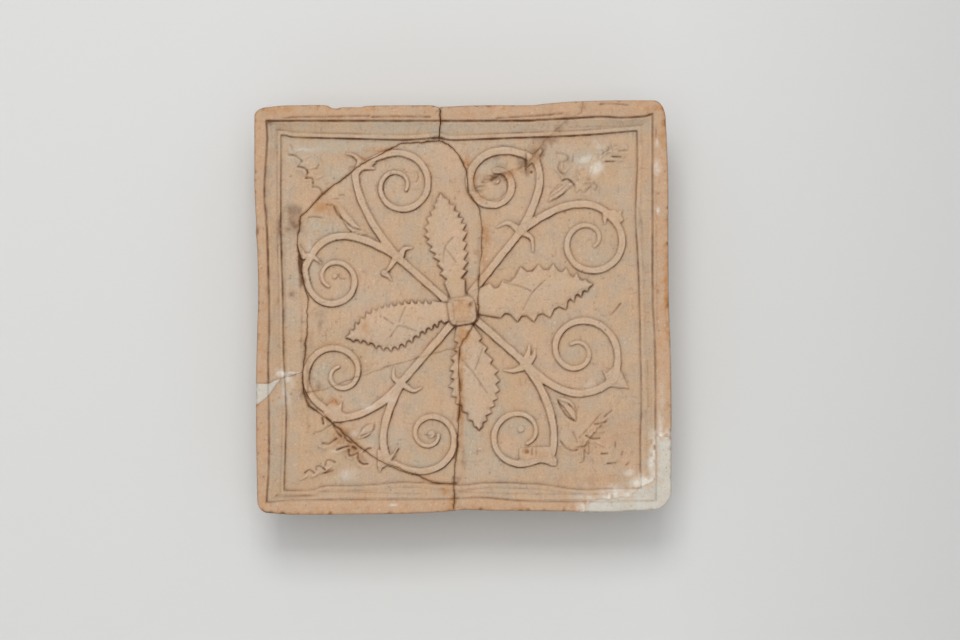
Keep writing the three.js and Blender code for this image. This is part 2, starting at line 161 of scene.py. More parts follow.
def distanceTo(paths, reach=8.0):
    # Distance on the grid to the nearest of several paths, up to a reach, worked out in short stretches
    away = np.full(gridX.shape, reach)
    for path in paths:
        for start in range(0, len(path) - 1, pathStretch):
            area, near, _, _ = nearPath(path[start:start + pathStretch + 1], reach)
            away[area] = np.minimum(away[area], near)
    return away


def inside(outline, area):
    # Even-odd count of the outline's edges crossed on the way to the right
    x, y = gridX[area], gridY[area]
    within = np.zeros(x.shape, bool)
    for (x0, y0), (x1, y1) in zip(outline, np.roll(outline, -1, 0)):
        if y0 != y1:
            within ^= ((y0 > y) != (y1 > y)) & (x < (x1 - x0) * (y - y0) / (y1 - y0) + x0)
    return within


# Frame: the outer edge, the rim's inner line and the field's edge of each side, read off as (along, across)
frameLines = {
    "top": {
        "edge": [(240, 108), (262, 107.5), (280, 105.5), (300, 105), (325, 105), (331, 107.7),
                 (337, 108.2), (343, 107), (362, 107), (370, 105.5), (430, 105), (439, 106.6), (480, 105),
                 (530, 105), (545, 103.5), (580, 101), (650, 99.6), (690, 99.6)],
        "rimLine": [(240, 121), (500, 121), (540, 120), (570, 118.5), (600, 116.8), (622, 117.7),
                    (644, 116.4), (656, 113.4), (690, 110)],
        "fieldLine": [(240, 134), (282, 134.5), (295, 136.5), (350, 138), (405, 139), (438, 137),
                      (450, 139.3), (480, 138.5), (520, 137), (550, 136), (590, 134), (637, 130),
                      (690, 126)],
    },
    "right": {
        "edge": [(80, 666), (118, 666), (140, 667), (180, 668.4), (240, 668.6), (300, 669), (350, 670.8),
                 (400, 671.6), (450, 671.8), (530, 671.8)],
        "rimLine": [(80, 652.5), (280, 652.5), (310, 653), (350, 655), (440, 655.5), (530, 656)],
        "fieldLine": [(80, 637.5), (130, 637.5), (160, 638), (215, 636.2), (260, 638.5), (300, 640),
                      (355, 641.2), (407, 642), (438, 641), (530, 642)],
    },
    "bottom": {
        "edge": [(240, 513), (268, 513.4), (300, 515), (370, 514.5), (420, 513.5), (455, 511), (465, 510),
                 (500, 511), (560, 511.5), (600, 512.3), (650, 510.5), (690, 510)],
        "rimLine": [(240, 502), (268, 502), (294, 500), (373, 499.5), (448, 499), (481, 497.5),
                    (523, 500.7), (584, 501.5), (690, 500)],
        "fieldLine": [(240, 491), (306, 491), (326, 486.7), (373, 485.6), (405, 482.8), (458, 485.8),
                      (490, 483.3), (540, 485), (578, 490), (622, 489), (690, 489)],
    },
    "left": {
        "edge": [(80, 254), (118, 254), (140, 253.6), (178, 254), (206, 255), (225, 256), (232, 255.4),
                 (240, 256.4), (262, 257.4), (299, 258), (330, 257), (376, 256), (438, 256), (499, 257),
                 (530, 257)],
        "rimLine": [(80, 266.5), (120, 266.5), (140, 267.3), (178, 265), (200, 264.8), (220, 266.5),
                    (250, 268), (320, 269.5), (361, 268.4), (407, 269), (468, 269), (500, 267), (530, 267)],
        "fieldLine": [(80, 280.5), (200, 280), (248, 280.5), (300, 282), (346, 282.5), (398, 284.8),
                      (422, 285.3), (468, 284), (530, 282)],
    },
}
frameShape = {
    "rimHeight": 6.0,
    "rimWay": (0.1, 0.5, 0.95),  # shares of the way across the rim at which its top has the next three falls
    "rimFalls": (0.0, 0.1, 0.8),
    "arris": 1.2,
    "grooveHeight": 3.8,
    "grooveRun": 0.8,
    "grooveFloor": 0.2,
    "grooveEdge": (0.35, 0.75),
    "bandHeight": 4.2,
    "bandHollow": 1.75,
    "bandStart": 0.9,
    "bandCurve": 0.85,
    "beadHeight": 1.85,
    "beadTurn": (0.1, 0.75),  # the bead's part of a half turn: its start and its extent
    "beadFoot": (0.15, 0.5),
    "fieldStep": 0.7,
    # Dirt and painted shade along the rim's foot, the field's edge and the bead's foot, most on top and least
    # at the bottom
    "dirt": {"top": (1.5, 0.8, 0.75), "right": (0.9, 0.85, 0.2), "bottom": (0.45, 0.45, 0.35),
             "left": (0.65, 0.4, 0.5)},
    "dirtAndShadeWidths": (0.5, 0.45, 0.4),
    "dirtAndShadeFade": {"mean": 0.65, "change": 0.5, "size": 13, "seed": 11},
    "beadWidths": {"top": 2.6, "right": 2.4, "bottom": 2.6, "left": 1.8},
    "cornerRadii": {("left", "top"): 5.5, ("right", "top"): 8.0, ("right", "bottom"): 10.0,
                    ("left", "bottom"): 5.5},
}


def sideCurve(side, line):
    # One line of the frame in mm, as (along, across) with along rising
    points = np.array(frameLines[side][line], float)
    if side in ("left", "right"):
        curve = flowing(onFace(points[:, ::-1]))[::-1, ::-1]
    else:
        curve = flowing(onFace(points))
    return curve[np.argsort(curve[:, 0])]


curves = {(side, line): sideCurve(side, line) for side in frameLines for line in frameLines[side]}
outwardSign = {"top": 1, "right": 1, "bottom": -1, "left": -1}
boxGap = 0.1  # the worked tile stays this far inside the solids' box
tightBox = {"left": cadBox[0][0] * 1000 + boxGap, "right": cadBox[1][0] * 1000 - boxGap,
            "bottom": cadBox[0][2] * 1000 - middleHeight + boxGap,
            "top": cadBox[1][2] * 1000 - middleHeight - boxGap}


def across(side, line, along):
    # Where a side's line runs, never outside the frame's own box
    curve = curves[side, line]
    place = np.interp(along, curve[:, 0], curve[:, 1])
    return np.minimum(place, tightBox[side]) if outwardSign[side] > 0 else np.maximum(place, tightBox[side])


def edgeDistances(x, y):
    # How far inside each side's outer edge a point lies
    return {side: (across(side, "edge", x if side in ("top", "bottom") else y)
                   - (y if side in ("top", "bottom") else x)) * outwardSign[side] for side in frameLines}


def roundedDistance(gaps):
    # Distance inside the outline: the least of the four, round a corner the radius less the way to its centre
    least = np.minimum.reduce(list(gaps.values()))
    for (first, second), radius in frameShape["cornerRadii"].items():
        a, b = gaps[first], gaps[second]
        corner = radius - np.hypot(np.clip(radius - a, 0, None), np.clip(radius - b, 0, None))
        least = np.where((a < radius) & (b < radius), np.minimum(least, corner), least)
    return least


def sideMeasures(side, gap):
    # Across one side: the way (0 at its edge, 1 at the rim's line, 2 at the field's), how far past each line,
    # the bead's width, and the dirt and painted shade along the lines
    shape, fade = frameShape, frameShape["dirtAndShadeFade"]
    along = gridX if side in ("top", "bottom") else gridY
    edge = across(side, "edge", along)
    rim, field = (np.abs(edge - across(side, line, along)) for line in ("rimLine", "fieldLine"))
    bead = shape["beadWidths"][side]
    strength = fade["mean"] + fade["change"] * unevenness(along, along * 0, fade["size"], fade["seed"])
    places = gap - rim + 0.1, gap - field + 0.1, gap - field + bead
    lines = sum(dirt * bump(place / width)
                for dirt, place, width in zip(shape["dirt"][side], places, shape["dirtAndShadeWidths"]))
    way = np.where(gap < rim, gap / rim, 1 + (gap - rim) / (field - rim))
    return way, gap - rim, gap - field, np.full(gridX.shape, bead), strength * lines


def frameHeights():
    # A rim with a rounded arris, a groove, a hollow band and a bead, each side as far as its mitres
    shape = frameShape
    gaps = edgeDistances(gridX, gridY)
    measures = np.array([sideMeasures(side, gaps[side]) for side in frameLines])
    chosen = measures[:, 0].argmin(0)[None, None]
    way, rimGap, fieldGap, bead, lines = np.take_along_axis(measures, chosen, 0)[0]
    rimTop = shape["rimHeight"] - np.interp(way, shape["rimWay"], shape["rimFalls"])
    fromEdge = roundedDistance(gaps)
    turn = 1 - np.clip(fromEdge / shape["arris"], 0, 1)
    rimTop = rimTop - shape["arris"] * (1 - np.sqrt(1 - turn * turn))
    start, groove, run = shape["bandStart"], shape["grooveHeight"], shape["grooveRun"]
    bandWay = np.clip((rimGap - start) / np.maximum(rimGap - fieldGap - bead - start, 1), 0, 1)
    band = shape["bandHeight"] + (shape["bandHollow"] - shape["bandHeight"]) * bandWay ** shape["bandCurve"]
    edgeStart, edgeRun = shape["grooveEdge"]
    band = groove + (band - groove) * smoothStep((rimGap - edgeStart) / edgeRun)
    turnStart, turnExtent = shape["beadTurn"]
    crest = np.sin((turnStart + turnExtent * np.clip(-fieldGap / bead, 0, 1)) * math.pi)
    footDepth, footWidth = shape["beadFoot"]
    band = np.maximum(band, shape["beadHeight"] * crest) - footDepth * bump((-fieldGap - bead) / footWidth)
    flank = rimTop + (groove - rimTop) * smoothStep((rimGap + run) / run)
    heights = np.select([rimGap < -run, rimGap < shape["grooveFloor"]], [rimTop, flank], band)
    heights = heights * (1 - smoothStep((fieldGap + shape["fieldStep"] / 2) / shape["fieldStep"]))
    return heights, fromEdge, way, lines


relief, fromEdge, frameWay, drawn = frameHeights()
onField = smoothStep((frameWay - 1.95) / 0.1)
print("frame worked out")

# Relief on the field
feet = []
ribbonShape = {
    "wall": 0.55,  # run of the steep flank
    "fall": 0.1,  # how much lower the shoulders are than the crown
    "footDepth": 0.1,
    "footWidth": 0.5,
    "footOut": 0.75,
    "uneven": ((0.1, 4), (0.16, 6)),  # how much the hand varied its width and height, and over what length
    "dirt": (0.3, 7, 8),
    "dirtAndShadeEdge": (0.05, 0.35),
    "reach": 3,
}


def edgeDirtAndShade(area, away, shares):
    # Dirt and painted shade held along a raised form's edge, more in some stretches than in others
    strength, size, seed = shares
    line = strength * (0.6 + 0.6 * unevenness(gridX[area], gridY[area], size, seed))
    drawn[area] = np.maximum(drawn[area], line * bump(away))


def raiseRibbon(path, widths, heights, foot=1.0):
    # Height by the distance from a path: a flat crown, rounded shoulders, a steep flank, a pressed foot
    area, away, share, _ = nearPath(path, max(widths) / 2 + ribbonShape["reach"])
    stations = np.linspace(0, 1, len(widths))
    varied = [1 + amount * unevenness(gridX[area], gridY[area], size, size)
              for amount, size in ribbonShape["uneven"]]
    half = np.interp(share, stations, widths) / 2 * varied[0]
    crown = np.interp(share, np.linspace(0, 1, len(heights)), heights) * varied[1]
    top = crown * (1 - ribbonShape["fall"] * np.clip(away / half, 0, 1) ** 2)
    flank = 1 - smoothStep((away - half + ribbonShape["wall"] / 2) / ribbonShape["wall"])
    pressedIn = bump((away - half - ribbonShape["footOut"]) / ribbonShape["footWidth"])
    feet.append((area, ribbonShape["footDepth"] * foot * pressedIn))
    # A thin line of dirt and painted shade along the ribbon's foot
    edgeLineOut, dirtWidth = ribbonShape["dirtAndShadeEdge"]
    edgeDirtAndShade(area, (away - half - edgeLineOut) / dirtWidth, ribbonShape["dirt"])
    relief[area] = np.maximum(relief[area], top * flank)


stems = {
    "upperLeft": {"root": (-9, 5), "node": (-32.5, 26)},
    "upperRight": {"root": (4, 8), "node": (28, 38)},
    "lowerRight": {"root": (6, -5), "node": (29, -25.5)},
    "lowerLeft": {"root": (-6, -8), "node": (-29.5, -35.5)},
}
stemShape = {"widths": (4.0, 4.0), "heights": (2.0, 2.0)}
scrollShape = {"widths": (4.3, 3.9, 3.6, 3.2, 2.0), "heights": (2.0, 1.8, 1.8, 1.7, 1.3), "shadeReach": 9,
               "knobHeight": 1.1}

scrolls = [
    {"stem": "upperLeft", "bend": (-52, 50), "turn": (-52.5, 67), "eye": (-29.5, 60), "drift": (-3, 0),
     "radius": (20, 5), "start": 140, "sweep": -525, "ease": 0.6, "dark": 1.0},
    {"stem": "upperLeft", "bend": (-60.5, 44), "turn": (-72, 29), "eye": (-61.5, 13.5), "drift": (-1, 2.5),
     "radius": (17, 5.5), "start": 160, "sweep": 445, "ease": 0.5, "knob": 1.3, "dark": 0.7},
    {"stem": "upperRight", "bend": (42, 63), "turn": (35, 73), "eye": (16.5, 60), "drift": (-0.5, 3.0),
     "radius": (20.5, 4.8), "start": 50, "sweep": 410, "ease": 0.65, "knob": 1.9,
     "widths": (4.3, 3.9, 4.2, 4.6, 3.4), "dark": 1.2},
    {"stem": "upperRight", "bend": (53.5, 58.5), "turn": (69, 48), "eye": (62, 31.5), "drift": (-1.5, 2),
     "radius": (16.5, 4), "start": 55, "sweep": -460, "ease": 1.15, "dark": 0.0},
    {"stem": "lowerRight", "bend": (50, -47.5), "turn": (66.5, -39), "eye": (57, -19.5),
     "drift": (-3, -1.5), "radius": (22.5, 4), "start": -40, "sweep": 520, "ease": 0.55, "dark": 0.6},
    {"stem": "lowerRight", "bend": (47.5, -49.5), "turn": (43.5, -71), "eye": (24.5, -63),
     "drift": (3.5, 4), "radius": (20, 7.5), "start": -35, "sweep": -395, "ease": 0.3, "knob": 1.7,
     "dark": 0.4},
    {"stem": "lowerLeft", "bend": (-41.5, -52), "turn": (-62, -54), "eye": (-62, -30.5),
     "drift": (3.5, -1.5), "radius": (20, 4), "start": -100, "sweep": -510, "ease": 0.6, "dark": 0.7},
    {"stem": "lowerLeft", "bend": (-43.5, -61.5), "turn": (-36.5, -73.5), "eye": (-17, -63),
     "drift": (1.5, 1.5), "radius": (24, 3.5), "start": -150, "sweep": 515, "ease": 0.45, "knob": 1.9,
     "dark": 1.1},
]


def scrollPath(scroll):
    # A bent branch, then a spiral whose radius falls and whose eye drifts as it winds
    t = np.linspace(0, 1, 30)[:, None]
    node, bend, turn = onShares([stems[scroll["stem"]]["node"], scroll["bend"], scroll["turn"]])
    branch = node * (1 - t) ** 2 + bend * 2 * t * (1 - t) + turn * t ** 2
    share = np.linspace(0, 1, 240)
    angle = np.radians(scroll["start"] + scroll["sweep"] * share)
    first, last = scroll["radius"]
    radius = (first + (last - first) * share ** scroll["ease"]) * tile["width"] / 200
    eye = onShares(scroll["eye"]) + onShares(scroll["drift"]) * share[:, None]
    spiral = eye + np.stack([np.cos(angle), np.sin(angle)], 1) * radius[:, None]
    path = np.pad(evenly(np.vstack([branch, spiral]), 0.4), ((6, 6), (0, 0)), "edge")
    rounded = [np.convolve(path[:, k], np.ones(13) / 13, "valid") for k in (0, 1)]  # mean of 13 points
    return np.stack(rounded, 1), eye[-1]


for stem in stems.values():
    raiseRibbon(evenly(onShares([stem["root"], stem["node"]]), 0.4), **stemShape)
eyeShade = np.zeros(gridX.shape)  # how much more painted shade each scroll's flanks get near its eye
for scroll in scrolls:
    path, eye = scrollPath(scroll)
    raiseRibbon(path, scroll.get("widths", scrollShape["widths"]), scrollShape["heights"])
    fromEye = np.hypot(gridX - eye[0], gridY - eye[1])
    eyeShade = np.maximum(eyeShade, scroll["dark"] * bump(fromEye / scrollShape["shadeReach"]))
    if "knob" in scroll:
        raiseRibbon(np.array([eye, eye + 0.2]), (2 * scroll["knob"],), (scrollShape["knobHeight"],), 0.5)

# Horns at the forks and calyx tips where the branches turn over, from broad root to thin tip
horns = [
    [(401, 255), (404, 249), (412, 247.5)], [(396, 257), (389, 268), (384, 273)],
    [(384, 273), (388, 276), (391, 280)], [(518, 229), (508, 222.5), (497, 227)],
    [(522, 232), (531, 237), (533, 244), (533, 251)], [(400, 383), (393.5, 378), (393.5, 368)],
    [(403, 385), (413, 391), (421, 388)], [(527, 358), (529, 351), (529.5, 345)],
    [(530, 361), (534, 356), (535, 350)], [(522, 368), (513, 371), (504, 370.5)],
    [(358, 168), (359, 160), (353, 154.5), (346, 153)], [(361, 166), (368, 167), (374, 168)],
    [(363, 166), (370, 164), (375, 162)], [(303, 256), (300, 249), (296.5, 243.5)],
    [(307, 256), (313, 257), (320, 263)], [(606, 214), (605.5, 219), (605.5, 223)],
    [(386, 461), (393, 456), (397, 449)], [(380, 461), (379, 466), (379.5, 472)],
]
hornShape = {"widths": (3.6, 2.4, 1.2), "heights": (1.9, 1.6, 1.0), "foot": 0.7}
for horn in horns:
    raiseRibbon(flowing(onFace(horn)), **hornShape)

# Calyxes where a branch turns into its scroll: low plates with pointed corners that fall off to their edge
calyxes = [
    [(600, 203), (608.7, 209.5), (616, 209.5), (617.7, 211.4), (623.6, 208.8), (622, 214), (624, 220),
     (617, 227), (610, 221), (603, 213)],
    [(602, 368.5), (607, 373), (613, 368), (619, 366), (624, 376), (628, 386), (630, 389), (619.5, 388),
     (609.7, 387), (602, 393), (600, 386), (607, 381)],
    [(519, 449), (530, 447.6), (550, 447), (552, 440), (558, 440), (554.6, 454.8), (557.6, 459.7),
     (557, 467), (551, 466.3), (541.5, 462.6), (528.6, 467), (519, 467.8)],
    [(323, 414), (327, 405), (334, 399.5), (337.5, 406), (342.5, 400.5), (341, 412), (346, 414),
     (346, 419.5), (337, 420.5), (331.5, 423.5)],
    [(377, 450), (385, 450), (392, 458), (394, 467), (387, 466), (383, 468), (380, 472), (377, 461)],
    [(526, 151), (531, 154.5), (538, 150.5), (541, 147), (543.5, 150), (540, 156), (541, 163), (536, 163),
     (531, 163), (527, 167)],
    [(356, 168), (357, 160), (360, 156), (364, 160), (374, 160), (375.5, 163), (371, 165.5), (374.5, 169),
     (364, 169)],
]
calyxShape = {"edge": 1.3, "crown": 1.9, "wall": 0.5, "slope": 2.5}
print("scrolls raised,", len(scrolls))

# Main leaves: tips of the teeth on both edges from root to tip, and the midrib's veins
mainLeaves = {
    "up": {
        "root": [(451, 300), (466, 300)], "tip": (440, 192), "depth": 4.2, "valley": (0.3,),
        "teeth": [
            [(444, 283), (440, 274), (436.5, 264), (432.5, 257), (429, 250), (426, 242), (423.5, 235),
             (424, 227), (426, 218), (430, 211), (433, 204), (436.5, 198)],
            [(465, 280), (467, 271), (468, 262), (468, 252), (467, 243), (467.5, 232), (466, 224),
             (463, 218), (459.5, 212), (455, 205), (449, 199)],
        ],
    },
    "left": {
        "root": [(452, 303), (454, 319)], "tip": (345, 338), "depth": 4.0, "valley": (0.3, 0.65),
        "teeth": [
            [(432, 301), (425, 299.6), (418, 299.6), (411, 299.6), (404, 300.4), (397.5, 301.2),
             (390, 303), (384, 303.6), (378.5, 305), (372, 308), (366, 312), (360, 317), (355, 323),
             (350, 330)],
            [(444, 323.5), (437.5, 327.5), (432, 330.5), (425, 334), (419, 338), (412, 343), (405, 347),
             (398, 350), (391, 352), (383.5, 351), (376, 348.5), (368, 345.5), (360.5, 343.5), (353, 342)],
        ],
    },
    "right": {
        "root": [(470, 293), (470, 313)], "tip": (594, 284), "depth": 6.2, "valley": (0.32, 0.62),
        "teeth": [
            [(489.7, 283), (502.6, 280), (520.7, 266.5), (538.9, 264), (553.5, 263.5), (566.5, 267.5),
             (577, 273), (586, 279)],
            [(500.9, 318), (517.6, 322), (534.2, 322), (550.4, 318), (566.5, 309.5), (574.5, 302),
             (581.5, 297), (588, 291.5)],
        ],
    },
    "down": {
        "root": [(457, 322), (471, 322)], "tip": (479, 431), "depth": 4.4, "valley": (0.3,),
        "teeth": [
            [(454, 341), (454, 350), (450.5, 359), (449, 370), (450.5, 378), (448.5, 387), (451, 396),
             (455.5, 404), (462, 412), (467.5, 420), (474, 427)],
            [(482, 338), (487.5, 348), (493, 360), (498.5, 371), (500, 381), (500, 391), (498, 399),
             (495, 406), (492, 413), (487, 421), (483, 427.5)],
        ],
    },
}
leafShape = {
    "edge": 1.6,
    "crown": 3.0,
    "wall": 0.8,
    "rolled": (0.2, 2.0),  # how much lower the very edge is, and how far in
    "half": 11.0,
    "swell": (0.12, 0.88, 0.7),  # the dome's width is this stretch of half a sine's turn, to this power
    "foot": (0.2, 0.7, 0.5),
    "room": 0.4,
    "dirt": (0.6, 6, 9),
    "dirtAndShadeEdge": (0.3, 0.4),
}


def leafOutline(leaf):
    # Saw teeth: after each tip the edge falls back to a valley, narrow or broad, on the way to the next one
    flanks = []
    root, tip = onFace(leaf["root"]), onFace(leaf["tip"])
    middle = root.mean(0)
    for start, teeth in zip(root, leaf["teeth"]):
        tips = onFace(teeth)
        nextTips = np.vstack([tips[1:], tip])
        edge = [tips]
        for share in leaf["valley"]:
            valley = tips + (nextTips - tips) * share
            shareAlong = ((valley - middle) @ (tip - middle)) / ((tip - middle) @ (tip - middle))
            inward = middle + shareAlong[:, None] * (tip - middle) - valley
            room = np.hypot(*inward.T)[:, None]
            depth = np.minimum(leaf["depth"] * reading["mmPerPixel"], leafShape["room"] * room)
            edge.append(valley + inward / room * depth)
        flanks.append(np.vstack([start, np.stack(edge, 1).reshape(-1, 2)]))
    return np.vstack([flanks[0], tip, flanks[1][::-1]])


def inwardFrom(outline):
    # Distance to an outline, positive inside it
    area, away, _, _ = nearPath(evenly(np.vstack([outline, outline[:1]]), 0.35), 3)
    return area, np.where(inside(outline, area), away, -away)


def raiseLeaf(leaf):
    # A dome that falls from the midrib to the edge, with its outline sawn into teeth
    area, signed = inwardFrom(leafOutline(leaf))
    middle, tip = onFace(leaf["root"]).mean(0), onFace(leaf["tip"])
    length = np.hypot(*(tip - middle))
    axis = (tip - middle) / length
    x, y = gridX[area] - middle[0], gridY[area] - middle[1]
    share, aside = (x * axis[0] + y * axis[1]) / length, np.abs(y * axis[0] - x * axis[1])
    start, stretch, power = leafShape["swell"]
    swell = np.sin(np.clip(share * stretch + start, 0, 1) * math.pi) ** power
    halfWidth = leafShape["half"] * swell + 0.01
    dome = 1 - np.clip(aside / halfWidth, 0, 1) ** 2
    body = leafShape["edge"] + (leafShape["crown"] - leafShape["edge"]) * dome
    rolled, rollWidth = leafShape["rolled"]
    body = body * (1 - rolled * (1 - smoothStep(signed / rollWidth)))
    flank = smoothStep((signed + leafShape["wall"] / 2) / leafShape["wall"])
    footDepth, footOut, footWidth = leafShape["foot"]
    feet.append((area, footDepth * bump((signed + footOut) / footWidth)))
    # A thin line of dirt and painted shade along the leaf's outline
    edgeLineOut, dirtWidth = leafShape["dirtAndShadeEdge"]
    edgeDirtAndShade(area, (signed + edgeLineOut) / dirtWidth, leafShape["dirt"])
    relief[area] = np.maximum(relief[area], body * flank)


for leaf in mainLeaves.values():
    raiseLeaf(leaf)
for calyx in calyxes:
    area, signed = inwardFrom(onFace(calyx))
    edge, wall = calyxShape["edge"], calyxShape["wall"]
    top = edge + (calyxShape["crown"] - edge) * smoothStep(signed / calyxShape["slope"])
    relief[area] = np.maximum(relief[area], top * smoothStep((signed + wall / 2) / wall))

# Buds and the low leaves of the corners: pointed mounds
buds = [
    [(366, 234), (352, 226), (336, 202)], [(549, 201), (560, 190), (575, 182)],
    [(557, 398), (569, 406), (577, 423)], [(374, 424), (368, 430), (357, 439)],
]
budShape = {"widths": (0.8, 4.4, 5.2, 3.4, 0.6), "heights": (0.6, 1.2, 1.4, 1.1, 0.5), "foot": 0.8}
for bud in buds:
    raiseRibbon(flowing(onFace(bud)), **budShape)
cornerMounds = [
    {"line": [(338, 200), (318, 180), (306, 160), (288, 143)], "width": 11, "height": 1.1},
    {"line": [(572, 196), (590, 176), (610, 158), (630, 140)], "width": 10, "height": 1.0},
    {"line": [(560, 448), (580, 440), (596, 425), (614, 406)], "width": 10, "height": 1.3},
    {"line": [(588, 456), (606, 458), (626, 470)], "width": 8, "height": 0.6},
    {"line": [(332, 428), (345, 444), (362, 462)], "width": 9, "height": 1.5},
    {"line": [(302, 478), (318, 470), (338, 460)], "width": 9, "height": 1.0},
]
moundShape = {"reach": 9, "ends": 0.04, "power": 0.5, "spread": 2.2}
for mound in cornerMounds:
    # A low swelling by the distance from its line, tapered to both ends by the root of a sine
    area, away, share, _ = nearPath(flowing(onFace(mound["line"])), moundShape["reach"])
    inner = np.clip(share, moundShape["ends"], 1 - moundShape["ends"])
    taper = np.sin(inner * math.pi) ** moundShape["power"]
    half = mound["width"] / moundShape["spread"]
    relief[area] += mound["height"] * taper * bump(away / half) * onField[area]

# Boss: a rounded square with a worn crown
boss = {"middle": (462, 311), "half": 7.9, "tilt": 9.0, "squareness": 4.0, "height": 6.5, "crown": 2.2,
        "crownPower": 2.5, "wall": 1.8, "foot": (0.1, 0.9, 0.6), "reach": 14}


def raiseBoss():
    # Height by the distance in a power norm, so that its plan is a square with rounded corners
    centre = onFace(boss["middle"])
    area = windowOf(centre[None], boss["reach"])
    tilt = math.radians(boss["tilt"])
    x, y = gridX[area] - centre[0], gridY[area] - centre[1]
    u, v = x * math.cos(tilt) + y * math.sin(tilt), y * math.cos(tilt) - x * math.sin(tilt)
    power = boss["squareness"]
    reach = (np.abs(u) ** power + np.abs(v) ** power) ** (1 / power)
    share = np.clip(reach / boss["half"], 0, 1)
    top = boss["height"] - boss["crown"] * share ** boss["crownPower"]
    flank = 1 - smoothStep((reach - boss["half"] + boss["wall"] / 2) / boss["wall"])
    footDepth, footOut, footWidth = boss["foot"]
    feet.append((area, footDepth * bump((reach - boss["half"] - footOut) / footWidth)))
    relief[area] = np.maximum(relief[area], top * flank)


raiseBoss()
footFade = 0.5  # a pressed foot fades out where the clay rises by this much
for area, depth in feet:
    relief[area] -= depth * np.exp(-np.clip(relief[area], 0, None) / footFade) * onField[area]
print("leaves, buds and boss raised")

